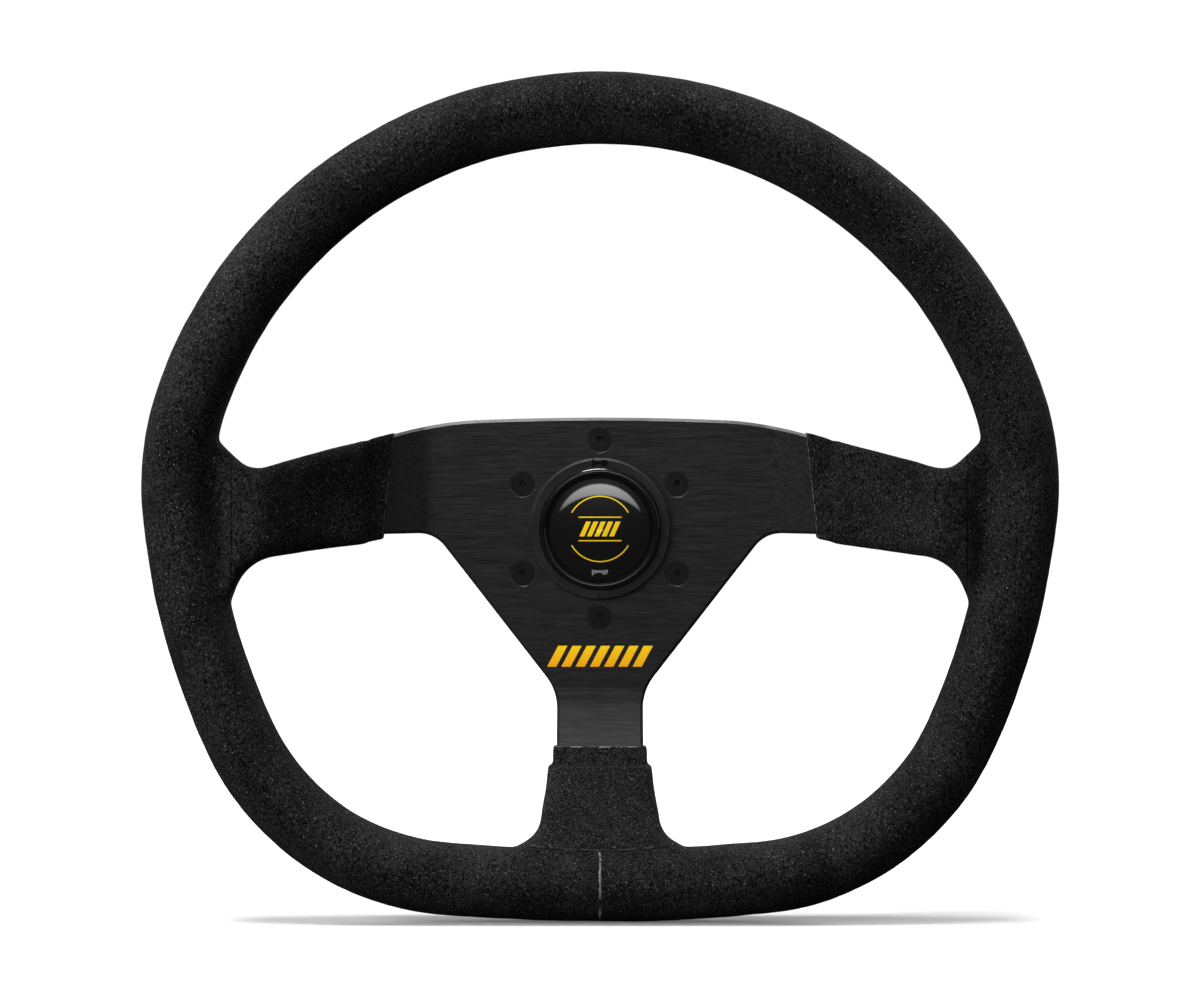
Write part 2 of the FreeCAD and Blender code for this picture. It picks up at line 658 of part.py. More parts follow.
tail = block("beyond_right_seam", ("sleeve_seam", "-hub_length * 3", "-hub_length * 3"),
             ("hub_length", "hub_length * 3", "hub_length * 6"))
left_tail = mirrored("beyond_left_seam", tail)
foot_end = block("below_foot_seam", ("-hub_length", "-hub_length * 3", "-(foot_seam + hub_length)"),
                 ("hub_length * 2", "hub_length * 3", "hub_length"))
all_foam = boolean("MultiFuse", "all_foam", [foam_outside, side_foam, left_foam, foot_foam])
rim_foam = boolean("Cut", "rim_foam", [all_foam, boolean("MultiFuse", "foam_core", [plate, core_outside])])
spokes_outside = boolean("MultiFuse", "spokes_outside", [side_outside, left_outside, foot_outside])
seams = boolean("MultiFuse", "beyond_seams", [tail, left_tail, foot_end])
spoke_roots = boolean("MultiCommon", "spoke_roots", [spokes_outside, seams])
grip_skin = boolean("MultiFuse", "grip_skin", [grip_outside, spoke_roots])
rim_wrap = boolean("Cut", "rim_wrap", [grip_skin, all_foam])
for label, outside in (
    ("right_spoke_sleeve", side_outside), ("left_spoke_sleeve", left_outside),
    ("bottom_spoke_sleeve", foot_outside)
):
    filled = boolean("MultiFuse", f"{label}_filling", [all_foam, grip_outside, seams, plate])
    sleeve = boolean("Cut", label, [outside, filled])

# ---------------------------------------------------------------- wheel screws

wheel_screws = new_body("wheel_screws")
head = f"{PLATE_FRONT} + head_sink"
screw = turn_at_bolt(wheel_screws, "screw", [
    ("0", head), ("screw_head", head), ("screw_shank", f"{head} + screw_head - screw_shank"),
    ("screw_shank", f"{head} + screw_length - 0.8"), ("screw_shank - 0.8", f"{head} + screw_length"),
    ("0", f"{head} + screw_length"),
])
socket = cut_along_y(wheel_screws, "hex_socket", lambda sketch: draw_outline(sketch, [
    (f"bolt_circle + hex_flats_half / cos(30) * cos({60 * n})", f"hex_flats_half / cos(30) * sin({60 * n})")
    for n in range(6)
]), f"{head} - 1", "hex_depth + 1")
pattern_round_axis(wheel_screws, "screws", [screw, socket], 6)
wheel_screws.Placement = Placement(Vector(0, 0, 0), FIRST_BOLT)

# ---------------------------------------------------------------- hub

hub_body = turned_body("hub_body", [
    ("button_hole", PLATE_BACK), ("flange_radius - flange_bevel", PLATE_BACK),
    ("flange_radius", f"{PLATE_BACK} + flange_bevel"),
    ("flange_radius", f"{PLATE_BACK} + flange_thickness - flange_bevel"),
    ("flange_radius - flange_bevel", f"{PLATE_BACK} + flange_thickness"),
    ("neck_radius", f"{PLATE_BACK} + flange_thickness"), ("neck_radius", "-neck_end - flange_bevel"),
    ("neck_radius - flange_bevel", "-neck_end"), ("barrel_radius", "-neck_end"),
    ("barrel_radius", "-circlip_front - circlip_width - 0.05"),
    ("circlip_groove", "-circlip_front - circlip_width - 0.05"),
    ("circlip_groove", "-circlip_front + 0.05"), ("barrel_radius", "-circlip_front + 0.05"),
    ("barrel_radius", "0"), ("barrel_radius - mouth_chamfer", "mouth_chamfer"),
    ("pilot_radius + mouth_chamfer", "mouth_chamfer"),
    ("pilot_radius", "0"), ("pilot_radius", "-pilot_length"),
    ("ball_bore", "-pilot_length"), ("ball_bore", "-sleeve_end"), ("sleeve_bore", "-sleeve_end"),
    ("sleeve_bore", RECESS_FLOOR), ("button_hole", RECESS_FLOOR),
])
tapped = cut_along_y(hub_body, "tapped_hole", lambda sketch: draw_circle(
    sketch, "bolt_circle * cos(30)", "bolt_circle * sin(30)", "tapped_hole"
), f"{PLATE_BACK} - 1", "flange_thickness + 2")
pattern_round_axis(hub_body, "tapped_holes", [tapped], 6)
pocket_profile = hub_body.newObject("Sketcher::SketchObject", "ball_pocket_profile")
pocket_profile.AttachmentSupport = [(plane_of(hub_body, "XY_Plane"), "")]
pocket_profile.MapMode = "FlatFace"
pocket_profile.setExpression("AttachmentOffset.Base.y", bound("-ball_plane"))
draw_outline(pocket_profile, [
    ("pilot_radius - 1", "0"), ("barrel_radius + 1", "0"), ("barrel_radius + 1", "pocket_radius"),
    ("lip_height", "pocket_radius"), ("pilot_radius", "pocket_lip"), ("pilot_radius - 1", "pocket_lip"),
])
ball_pocket = hub_body.newObject("PartDesign::Groove", "ball_pocket")
ball_pocket.Profile = pocket_profile
ball_pocket.ReferenceAxis = (pocket_profile, ["H_Axis"])
ball_pocket.Angle = 360
doc.recompute()
pattern_round_axis(hub_body, "ball_pockets", [ball_pocket], size("ball_count"))

spline_sleeve = turned_body("spline_sleeve", [
    ("spline_major", "-sleeve_end - spline_length"), ("sleeve_bore", "-sleeve_end - spline_length"),
    ("sleeve_bore", "-sleeve_end"), ("spline_major", "-sleeve_end"),
])
tooth = cut_along_y(spline_sleeve, "tooth", lambda sketch: draw_outline(sketch, [
    ("spline_minor", "-tooth_tip_half"), ("spline_major + 0.4", "-tooth_root_half"),
    ("spline_major + 0.4", "tooth_root_half"), ("spline_minor", "tooth_tip_half"),
]), "-sleeve_end - spline_length", "spline_length", add=True)
pattern_round_axis(spline_sleeve, "teeth", [tooth], size("spline_count"))
cut_along_y(spline_sleeve, "master_tooth", lambda sketch: draw_outline(sketch, [
    ("spline_minor * cos(3)", "spline_minor * sin(3)"),
    ("(spline_major + 0.4) * cos(3)", "(spline_major + 0.4) * sin(3)"),
    ("(spline_major + 0.4) * cos(17)", "(spline_major + 0.4) * sin(17)"),
    ("spline_minor * cos(17)", "spline_minor * sin(17)"),
]), "-sleeve_end - spline_length", "spline_length", add=True)

sleeve_lock_ring = turned_body("sleeve_lock_ring", [
    ("ring_bore", RING_FRONT), ("sleeve_bore - 0.5", RING_FRONT), ("sleeve_bore", f"{RING_FRONT} + 0.5"),
    ("sleeve_bore", f"{RING_FRONT} + ring_thickness"), ("ring_bore", f"{RING_FRONT} + ring_thickness"),
])
cut_along_y(sleeve_lock_ring, "spanner_slot", lambda sketch: draw_outline(sketch, [
    ("-sleeve_bore - 1", "-ring_slot_half"), ("sleeve_bore + 1", "-ring_slot_half"),
    ("sleeve_bore + 1", "ring_slot_half"), ("-sleeve_bore - 1", "ring_slot_half"),
]), f"{RING_FRONT} - 1", "2.2")

collar_circlip = turned_body("collar_circlip", [
    ("circlip_groove + 0.05", "-circlip_front - circlip_width"),
    ("circlip_radius", "-circlip_front - circlip_width"),
    ("circlip_radius", "-circlip_front"), ("circlip_groove + 0.05", "-circlip_front"),
])
for side in (-1, 1):
    cut_along_y(collar_circlip, "left_lug" if side < 0 else "right_lug", lambda sketch: draw_circle(
        sketch, f"{side} * (circlip_gap / 2 + 1.7)", "-circlip_radius", "1.9"
    ), "-circlip_front - circlip_width", "circlip_width", add=True)
cut_along_y(collar_circlip, "circlip_opening", lambda sketch: draw_outline(sketch, [
    ("-circlip_gap / 2", "-circlip_radius - 4"), ("circlip_gap / 2", "-circlip_radius - 4"),
    ("circlip_gap / 2", "-circlip_groove + 4"), ("-circlip_gap / 2", "-circlip_groove + 4"),
]), "-circlip_front - circlip_width - 1", "circlip_width + 2")
for side in (-1, 1):
    cut_along_y(collar_circlip, "left_eye" if side < 0 else "right_eye", lambda sketch: draw_circle(
        sketch, f"{side} * (circlip_gap / 2 + 1.7)", "-circlip_radius", "0.8"
    ), "-circlip_front - circlip_width - 1", "circlip_width + 2")

# ---------------------------------------------------------------- lock balls and release collar

ramp_slope = "(ball_travel / collar_travel)"
ramp_at_ball = f"(ball_seat + (ball_radius + cam_gap) * sqrt(1 + {ramp_slope} ^ 2))"
release_collar = turned_body("release_collar", [
    ("spring_cavity", "-collar_front"), ("grip_radius - 1", "-collar_front"),
    ("grip_radius", "-collar_front + 1"), ("grip_radius", "-grip_root"), ("grip_radius - 2", "-grip_back"),
    ("collar_outer", "-grip_back"), ("collar_outer", "-collar_back - 2"), ("collar_nose", "-collar_back"),
    ("collar_bore", "-collar_back"), ("collar_bore", "-lip_front"),
    (f"{ramp_at_ball} + (ball_plane - relief_front) * {ramp_slope}", "-lip_front"),
    (f"{ramp_at_ball} + (ball_plane - relief_front) * {ramp_slope}", "-relief_front"),
    ("collar_bore", f"-ball_plane - ({ramp_at_ball} - collar_bore) / {ramp_slope}"),
    ("collar_bore", "-spring_shoulder"), ("spring_cavity", "-spring_shoulder"),
])
flute = cut_along_y(release_collar, "flute", lambda sketch: draw_circle(
    sketch, "flute_centre", "0", "flute_radius"
), "-collar_front - 1", "collar_front - grip_back + 2")
pattern_round_axis(release_collar, "flutes", [flute], size("flute_count"))

for number in range(int(size("ball_count"))):
    ball = doc.addObject("Part::Sphere", f"lock_ball_{number + 1}")
    ball.Label = f"lock_ball_{number + 1}"
    bind(ball, Radius="ball_radius")
    ball.setExpression("Placement.Base.x", bound(f"ball_seat * cos({60 * number})"))
    ball.setExpression("Placement.Base.y", bound("-ball_plane"))
    ball.setExpression("Placement.Base.z", bound(f"ball_seat * sin({60 * number})"))


def coil(label, front, back, mean, wire, turns):
    """A compression spring standing between two places on the steering axis."""
    rest = f"({back}) - ({front}) - {wire} * 2"
    helix = doc.addObject("Part::Helix", f"{label}_path")
    bind(helix, Pitch=f"({rest}) / {turns}", Height=rest, Radius=mean)
    section = doc.addObject("Part::Circle", f"{label}_section")
    section.Placement.Rotation = Rotation(Vector(1, 0, 0), 90)
    bind(section, Radius=wire)
    section.setExpression("Placement.Base.x", bound(mean))
    doc.recompute()
    spring = doc.addObject("Part::Sweep", label)
    spring.Label = label
    spring.Sections = [section]
    spring.Spine = (helix, ["Edge1"])
    spring.Solid = True
    spring.Frenet = True
    spring.Placement = Placement(Vector(0, size(f"{front} + {wire}"), 0), Rotation(Vector(1, 0, 0), -90))
    return spring


coil("collar_spring", "-neck_end + 0.05", "-spring_shoulder - 0.05", "spring_mean", "spring_wire",
     "spring_turns")

# ---------------------------------------------------------------- horn button

horn_bezel = turned_body("horn_bezel", [
    ("bezel_inner", f"{PLATE_FRONT} - bezel_height"),
    ("bezel_outer - bezel_bevel", f"{PLATE_FRONT} - bezel_height"),
    ("bezel_outer", f"{PLATE_FRONT} - bezel_height + bezel_bevel"), ("bezel_outer", PLATE_FRONT),
    ("cup_outer", PLATE_FRONT), ("cup_outer", f"{PLATE_FRONT} + bezel_tail"),
    ("bezel_inner", f"{PLATE_FRONT} + bezel_tail"),
])
cut_along_y(horn_bezel, "bezel_notch", lambda sketch: draw_circle(
    sketch, "0", "-notch_centre", "notch_radius"
), f"{PLATE_FRONT} - bezel_height - 1", "2.2")

FLOOR_FRONT = f"{CUP_FLOOR} - cup_floor"
horn_cup = turned_body("horn_cup", [
    ("stem_hole", FLOOR_FRONT), ("cup_outer - cup_wall", FLOOR_FRONT),
    ("cup_outer - cup_wall", f"{PLATE_FRONT} + bezel_tail + 0.1"),
    ("cup_outer", f"{PLATE_FRONT} + bezel_tail + 0.1"),
    ("cup_outer", CUP_FLOOR), ("stem_hole", CUP_FLOOR),
])
BLADES = (("contact_inner + 1.1", 1), ("-(seat_inner + 1.3) - blade_thickness", -1))
for inner, side in BLADES:
    cut_along_y(horn_cup, "outer_slot" if side > 0 else "inner_slot", lambda sketch: draw_outline(sketch, [
        (f"{inner} - blade_slot", "-blade_half_width - blade_slot"),
        (f"{inner} + blade_thickness + blade_slot", "-blade_half_width - blade_slot"),
        (f"{inner} + blade_thickness + blade_slot", "blade_half_width + blade_slot"),
        (f"{inner} - blade_slot", "blade_half_width + blade_slot"),
    ]), f"{FLOOR_FRONT} - 1", "cup_floor + 2")


def contact(label, inner, outer, thickness, blade_inner):
    """A flat contact ring on the cup's floor, with a blade terminal through the floor."""
    body = turned_body(label, [
        (inner, f"{FLOOR_FRONT} - {thickness}"), (outer, f"{FLOOR_FRONT} - {thickness}"),
        (outer, FLOOR_FRONT), (inner, FLOOR_FRONT),
    ])
    cut_along_y(body, f"{label}_blade", lambda sketch: draw_outline(sketch, [
        (blade_inner, "-blade_half_width"), (f"{blade_inner} + blade_thickness", "-blade_half_width"),
        (f"{blade_inner} + blade_thickness", "blade_half_width"), (blade_inner, "blade_half_width"),
    ]), f"{FLOOR_FRONT} - {thickness}", f"{PLATE_FRONT} + blade_depth - ({FLOOR_FRONT}) + {thickness}", add=True)
    return body


contact("fixed_contact", "contact_inner", "contact_outer", "contact_thickness", BLADES[0][0])
contact("return_contact", "seat_inner", "seat_outer", "seat_thickness", BLADES[1][0])

CAP_FACE = f"{PLATE_FRONT} - cap_face_proud"
CAP_UNDER = f"{CAP_FACE} + cap_face_thickness"
MOVING_BACK = f"{FLOOR_FRONT} - contact_thickness - contact_gap"
STEM_END = f"{PLATE_FRONT} + stem_depth"
CLIP_FRONT = f"{CUP_FLOOR} + 0.1"
horn_cap = turned_body("horn_cap", [
    ("0", CAP_FACE), ("cap_crest - cap_crest_radius", CAP_FACE, "cap_crest_radius * 1.03"),
    ("cap_crest + cap_crest_radius", CAP_FACE), ("cap_radius", f"{PLATE_FRONT} + cap_step"),
    ("cap_skirt", f"{PLATE_FRONT} + cap_step"), ("cap_skirt", f"{PLATE_FRONT} + cap_skirt_depth"),
    ("cap_skirt - cap_wall", f"{PLATE_FRONT} + cap_skirt_depth"), ("cap_skirt - cap_wall", CAP_UNDER),
    ("post_outer", CAP_UNDER), ("post_outer", f"{MOVING_BACK} - contact_thickness"),
    ("post_inner", f"{MOVING_BACK} - contact_thickness"),
    ("post_inner", CAP_UNDER), ("stem_radius", CAP_UNDER),
    ("stem_radius", f"{CLIP_FRONT} - 0.05"), ("stem_groove", f"{CLIP_FRONT} - 0.05"),
    ("stem_groove", f"{CLIP_FRONT} + clip_thickness + 0.05"),
    ("stem_radius", f"{CLIP_FRONT} + clip_thickness + 0.05"),
    ("stem_radius", f"{STEM_END} - 0.5"), ("stem_radius - 0.5", STEM_END), ("0", STEM_END),
])
turned_body("button_badge", [
    ("0", CAP_FACE), ("0", f"{CAP_FACE} - badge_edge - badge_dome",
     "(badge_radius ^ 2 + badge_dome ^ 2) / (2 * badge_dome)"),
    ("badge_radius", f"{CAP_FACE} - badge_edge"), ("badge_radius", CAP_FACE),
])
turned_body("moving_contact", [
    ("contact_inner", f"{MOVING_BACK} - contact_thickness"),
    ("contact_outer", f"{MOVING_BACK} - contact_thickness"),
    ("contact_outer", MOVING_BACK), ("contact_inner", MOVING_BACK),
])
stem_clip = turned_body("stem_clip", [
    ("stem_groove + 0.05", CLIP_FRONT), ("clip_radius", CLIP_FRONT),
    ("clip_radius", f"{CLIP_FRONT} + clip_thickness"),
    ("stem_groove + 0.05", f"{CLIP_FRONT} + clip_thickness"),
])
cut_along_y(stem_clip, "clip_mouth", lambda sketch: draw_outline(sketch, [
    ("-stem_groove * 0.8", "-clip_radius - 1"), ("stem_groove * 0.8", "-clip_radius - 1"),
    ("stem_groove * 0.8", "0"), ("-stem_groove * 0.8", "0"),
]), f"{CLIP_FRONT} - 1", "clip_thickness + 2")
coil("horn_spring", CAP_UNDER + " + 0.05", f"{FLOOR_FRONT} - seat_thickness - 0.05", "coil_mean", "coil_wire",
     "coil_turns")

# ---------------------------------------------------------------- checks and files

SUB_PARTS = [
    "spoke_plate", "spoke_inlay", "rim_core_tube", "rim_foam", "rim_wrap", "right_spoke_sleeve",
    "left_spoke_sleeve", "bottom_spoke_sleeve", "wheel_screws", "hub_body", "spline_sleeve", "sleeve_lock_ring",
    "collar_circlip", "collar_spring", "release_collar", "lock_ball_1", "lock_ball_2", "lock_ball_3",
    "lock_ball_4",
    "lock_ball_5", "lock_ball_6", "horn_bezel", "horn_cup", "fixed_contact", "return_contact", "horn_spring",
    "horn_cap", "button_badge", "moving_contact", "stem_clip",
]

doc.recompute()
broken = [obj.Name for obj in doc.Objects if "Invalid" in obj.State or "Error" in obj.State]
if broken:
    raise RuntimeError("broken: " + ", ".join(broken))
os.makedirs("parts", exist_ok=True)
for label in SUB_PARTS:
    part = doc.getObjectsByLabel(label)[0]
    shape = part.Shape
    if shape.isNull() or not shape.isValid():
        raise RuntimeError(f"{label} has no valid shape")
    shape.exportStep(f"parts/{label}.step")
    print(f"{label}: {len(shape.Solids)} solid, {shape.Volume:.1f} mm3")
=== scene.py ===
"""Looks for the quick release steering wheel: suede covers, brushed plate, horn button and turned hub.

Everything is in metres, in the part's own frame: +X to the driver's right, +Y away from the driver, +Z up.
"""

import math

import bmesh
import bpy
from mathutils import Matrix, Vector, noise


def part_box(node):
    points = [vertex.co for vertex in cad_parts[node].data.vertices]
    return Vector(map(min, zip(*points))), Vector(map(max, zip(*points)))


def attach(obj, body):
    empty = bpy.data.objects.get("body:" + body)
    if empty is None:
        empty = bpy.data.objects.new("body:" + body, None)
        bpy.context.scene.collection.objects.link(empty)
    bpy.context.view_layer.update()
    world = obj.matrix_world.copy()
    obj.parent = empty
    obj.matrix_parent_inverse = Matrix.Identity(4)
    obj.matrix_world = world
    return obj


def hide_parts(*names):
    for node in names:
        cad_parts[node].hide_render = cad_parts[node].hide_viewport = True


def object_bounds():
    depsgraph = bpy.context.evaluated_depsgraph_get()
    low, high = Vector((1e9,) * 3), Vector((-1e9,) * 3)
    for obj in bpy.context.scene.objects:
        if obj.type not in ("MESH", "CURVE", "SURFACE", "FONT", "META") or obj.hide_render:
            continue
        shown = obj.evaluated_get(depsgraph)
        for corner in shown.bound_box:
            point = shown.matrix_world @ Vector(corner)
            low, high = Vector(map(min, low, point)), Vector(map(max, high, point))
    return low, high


MM = 0.001
PLATE_THICK = 4.5 * MM
BADGE_DOME_RADIUS = 103 * MM

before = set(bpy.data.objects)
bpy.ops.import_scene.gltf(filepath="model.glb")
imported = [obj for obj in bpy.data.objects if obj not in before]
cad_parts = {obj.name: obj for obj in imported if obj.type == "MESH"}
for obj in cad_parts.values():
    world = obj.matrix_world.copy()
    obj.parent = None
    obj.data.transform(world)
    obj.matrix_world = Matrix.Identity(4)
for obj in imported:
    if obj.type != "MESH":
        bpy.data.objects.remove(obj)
cad_low, cad_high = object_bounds()

plate_front_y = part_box("hub_body")[0].y - PLATE_THICK
foot_sleeve_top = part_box("bottom_spoke_sleeve")[1].z
badge_low, badge_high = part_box("button_badge")
badge_radius = badge_high.x
bezel_low, bezel_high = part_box("horn_bezel")


# ---------------------------------------------------------------- mesh helpers


def new_piece(name, mesh, body, material):
    """A finished piece: in the scene, riding on its body, with its material."""
    piece = bpy.data.objects.new(name, mesh)
    bpy.context.scene.collection.objects.link(piece)
    mesh.materials.clear()
    mesh.materials.append(material)
    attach(piece, body)
    return piece


def merged_mesh(name, nodes):
    """One mesh with copies of the meshes of several CAD nodes."""
    bm = bmesh.new()
    for node in nodes:
        bm.from_mesh(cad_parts[node].data)
    mesh = bpy.data.meshes.new(name)
    bm.to_mesh(mesh)
    bm.free()
    return mesh


def with_modifiers(mesh, add_modifiers, weights=None):
    """The mesh after some modifiers, applied on a scratch object. Weights go into a vertex group, soft."""
    scratch = bpy.data.objects.new("scratch", mesh)
    bpy.context.scene.collection.objects.link(scratch)
    if weights is not None:
        group = scratch.vertex_groups.new(name="soft")
        for index, weight in enumerate(weights):
            if weight > 0.01:
                group.add([index], weight, "REPLACE")
    add_modifiers(scratch)
    graph = bpy.context.evaluated_depsgraph_get()
    done = bpy.data.meshes.new_from_object(scratch.evaluated_get(graph))
    bpy.data.objects.remove(scratch)
    return done


def shade_smooth(mesh):
    mesh.polygons.foreach_set("use_smooth", [True] * len(mesh.polygons))
    mesh.update()


def bump_between(value, low, high, soft):
    """1 between low and high, falling smoothly to 0 over the distance soft outside them."""
    outside = max(low - value, value - high, 0.0)
    t = min(1.0, outside / soft)
    return 1.0 - t * t * (3.0 - 2.0 * t)


# ---------------------------------------------------------------- suede covers

VOXEL = 1.0 * MM
JOIN_PASSES = 28
VOXEL_STEP_PASSES = 3
WIDE_WAVES_PER_METRE = 38
WIDE_WAVE_HEIGHT = 0.28 * MM
NEAR_WAVES_PER_METRE = 140
NEAR_WAVE_HEIGHT = 0.10 * MM

# The side hems lean, and each hem is cut a little inside the end of its CAD sleeve.
HEM_TOP = Vector((80.2 * MM, 0, 37.9 * MM))
HEM_LOW = Vector((84.4 * MM, 0, -4.0 * MM))
HEM_OUTWARD = Vector((0, 1, 0)).cross(HEM_TOP - HEM_LOW).normalized()
HEM_INSET = 0.3 * MM
FOOT_HEM_Z = foot_sleeve_top - HEM_INSET

# The side seams are upright. The foot seam rises away from its middle by its curve times x squared.
SEAM_OUT = 139.5 * MM
SEAM_DEPTH = 0.55 * MM
FOOT_SEAM_Z = -121.9 * MM
FOOT_SEAM_CURVE = 2.2
FOOT_BLOCK_TOP = -100 * MM
FOOT_BLOCK_HALF_WIDTH = 60 * MM

# Areas seen from the front, as the lowest and highest x and the lowest and highest z.
SIDE_ROOT_AREA = (134 * MM, 150 * MM, -46 * MM, 52 * MM)
FOOT_ROOT_AREA = (0, 36 * MM, -131 * MM, -116 * MM)
SIDE_HEM_AREA = (70 * MM, 100 * MM, -60 * MM, 60 * MM)
FOOT_HEM_AREA = (-40 * MM, 40 * MM, -100 * MM, -70 * MM)
SIDE_SEAM_AREA = (125 * MM, 150 * MM, -29 * MM, 37 * MM)
FOOT_SEAM_AREA = (-36 * MM, 36 * MM, -132 * MM, -112 * MM)

# A sleeve is told from the grip by how far out its middle is.
SLEEVE_MIDDLE_OUT = 90 * MM

COVERED_NODES = {
    "grip_cover": "rim_wrap",
    "right_sleeve_cover": "right_spoke_sleeve",
    "left_sleeve_cover": "left_spoke_sleeve",
    "bottom_sleeve_cover": "bottom_spoke_sleeve",
}


def within(place, area, side=1):
    """Whether a place is inside an area. Side -1 mirrors the area to the left."""
    x_low, x_high, z_low, z_high = area
    return x_low < side * place.x < x_high and z_low < place.z < z_high


def soft_area(x, z, area, fade_x, fade_z):
    """1 inside an area, falling smoothly to 0 outside it."""
    x_low, x_high, z_low, z_high = area
    return bump_between(x, x_low, x_high, fade_x) * bump_between(z, z_low, z_high, fade_z)


def softness(place):
    """How much the joins between the grip and the spokes are rounded off."""
    x, z = abs(place.x), place.z
    side_root = soft_area(x, z, SIDE_ROOT_AREA, 6 * MM, 8 * MM)
    foot_root = soft_area(x, z, FOOT_ROOT_AREA, 9 * MM, 5 * MM)
    return max(side_root, foot_root)


def suede_body():
    """The grip and its three padded spokes as one smooth closed skin, with the plate still joined to it."""
    rough = merged_mesh("suede_body", [
        "rim_wrap", "rim_foam", "rim_core_tube", "right_spoke_sleeve", "left_spoke_sleeve",
        "bottom_spoke_sleeve", "spoke_plate",
    ])

    def remesh(scratch):
        voxels = scratch.modifiers.new("voxels", "REMESH")
        voxels.mode = "VOXEL"
        voxels.voxel_size = VOXEL
        voxels.adaptivity = 0

    skin = with_modifiers(rough, remesh)

    def soften(scratch):
        joins = scratch.modifiers.new("joins", "SMOOTH")
        joins.factor = 0.5
        joins.iterations = JOIN_PASSES
        joins.vertex_group = "soft"
        steps = scratch.modifiers.new("voxel_steps", "SMOOTH")
        steps.factor = 0.5
        steps.iterations = VOXEL_STEP_PASSES

    return with_modifiers(skin, soften, [softness(v.co) for v in skin.vertices])


def hand_stretched(mesh):
    """Slight unevenness of suede pulled over foam by hand."""
    for vertex, normal in zip(mesh.vertices, [v.normal.copy() for v in mesh.vertices]):
        wide = noise.noise(vertex.co * WIDE_WAVES_PER_METRE)
        near = noise.noise(vertex.co * NEAR_WAVES_PER_METRE + Vector((7, 3, 1)))
        vertex.co += normal * (wide * WIDE_WAVE_HEIGHT + near * NEAR_WAVE_HEIGHT)


def cut_loop(bm, area, side, co, no):
    """Cuts the faces inside an area with a plane, and returns the edges along the cut."""
    faces = [f for f in bm.faces if within(f.calc_center_median(), area, side)]
    edges = {e for f in faces for e in f.edges}
    verts = {v for f in faces for v in f.verts}
    cut = bmesh.ops.bisect_plane(bm, geom=[*faces, *edges, *verts], dist=1e-7, plane_co=co, plane_no=no)
    return [e for e in cut["geom_cut"] if isinstance(e, bmesh.types.BMEdge)]


def cut_hems(bm):
    """Cuts the skin across the two side spokes and the bottom spoke, along the hems."""
    for side in (1, -1):
        flip = Vector((side, 1, 1))
        outward = HEM_OUTWARD * flip
        cut_loop(bm, SIDE_HEM_AREA, side, HEM_TOP * flip + outward * HEM_INSET, outward)
    cut_loop(bm, FOOT_HEM_AREA, 1, Vector((0, 0, FOOT_HEM_Z)), Vector((0, 0, 1)))


def on_plate(place):
    """Whether a place is on the bare plate, between the hems."""
    foot_low_x, foot_high_x, _, foot_area_top = FOOT_HEM_AREA
    if place.z < foot_area_top:
        return place.z > FOOT_HEM_Z and foot_low_x < place.x < foot_high_x
    past_hem = (Vector((abs(place.x), 0, place.z)) - HEM_TOP - HEM_OUTWARD * HEM_INSET).dot(HEM_OUTWARD)
    side_area_top = SIDE_HEM_AREA[3]
    return past_hem < 0 and place.z < side_area_top


def move_foot(bm, direction):
    """Lowers the foot by the foot seam's rise (-1), so that a level cut comes out curved, or back (1)."""
    for vertex in bm.verts:
        x, z = vertex.co.x, vertex.co.z
        if z < FOOT_BLOCK_TOP and abs(x) < FOOT_BLOCK_HALF_WIDTH:
            vertex.co.z += direction * FOOT_SEAM_CURVE * x * x


def cut_seams(bm):
    """Splits the sleeves from the grip along sunken seams."""
    seam_edges = []
    for side in (1, -1):
        outward = Vector((side, 0, 0))
        seam_edges += cut_loop(bm, SIDE_SEAM_AREA, side, outward * SEAM_OUT, outward)
    move_foot(bm, -1)
    seam_edges += cut_loop(bm, FOOT_SEAM_AREA, 1, Vector((0, 0, FOOT_SEAM_Z)), Vector((0, 0, 1)))
    move_foot(bm, 1)
    bm.normal_update()
    for vertex in {v for e in seam_edges for v in e.verts}:
        vertex.co -= vertex.normal * SEAM_DEPTH
    bmesh.ops.split_edges(bm, edges=seam_edges)


def islands(bm):
    """The mesh's separate connected pieces, as lists of faces."""
    left = set(bm.faces)
    found = []
    while left:
        seed = left.pop()
        stack, island = [seed], [seed]
        while stack:
            for edge in stack.pop().edges:
                for face in edge.link_faces:
                    if face in left:
                        left.remove(face)
                        stack.append(face)
                        island.append(face)
        found.append(island)
    return found


def cover_name(island):
    """The name of the cover that an island of faces is, from where its middle lies."""
    middle = sum((f.calc_center_median() for f in island), Vector()) / len(island)
    if abs(middle.x) > SLEEVE_MIDDLE_OUT:
        return "right_sleeve_cover" if middle.x > 0 else "left_sleeve_cover"
    return "bottom_sleeve_cover" if middle.z < -SLEEVE_MIDDLE_OUT else "grip_cover"


def closed_mesh(name, island):
    """A mesh of an island's faces, with its open ends filled."""
    bm = bmesh.new()
    verts = {}
    for face in island:
        for v in face.verts:
            if v not in verts:
                verts[v] = bm.verts.new(v.co)
        bm.faces.new([verts[v] for v in face.verts])
    bm.normal_update()
    bmesh.ops.holes_fill(bm, edges=[e for e in bm.edges if e.is_boundary], sides=0)
    bmesh.ops.triangulate(bm, faces=[f for f in bm.faces if len(f.verts) > 4])
    bmesh.ops.recalc_face_normals(bm, faces=bm.faces)
    mesh = bpy.data.meshes.new(name)
    bm.to_mesh(mesh)
    bm.free()
    shade_smooth(mesh)
    return mesh


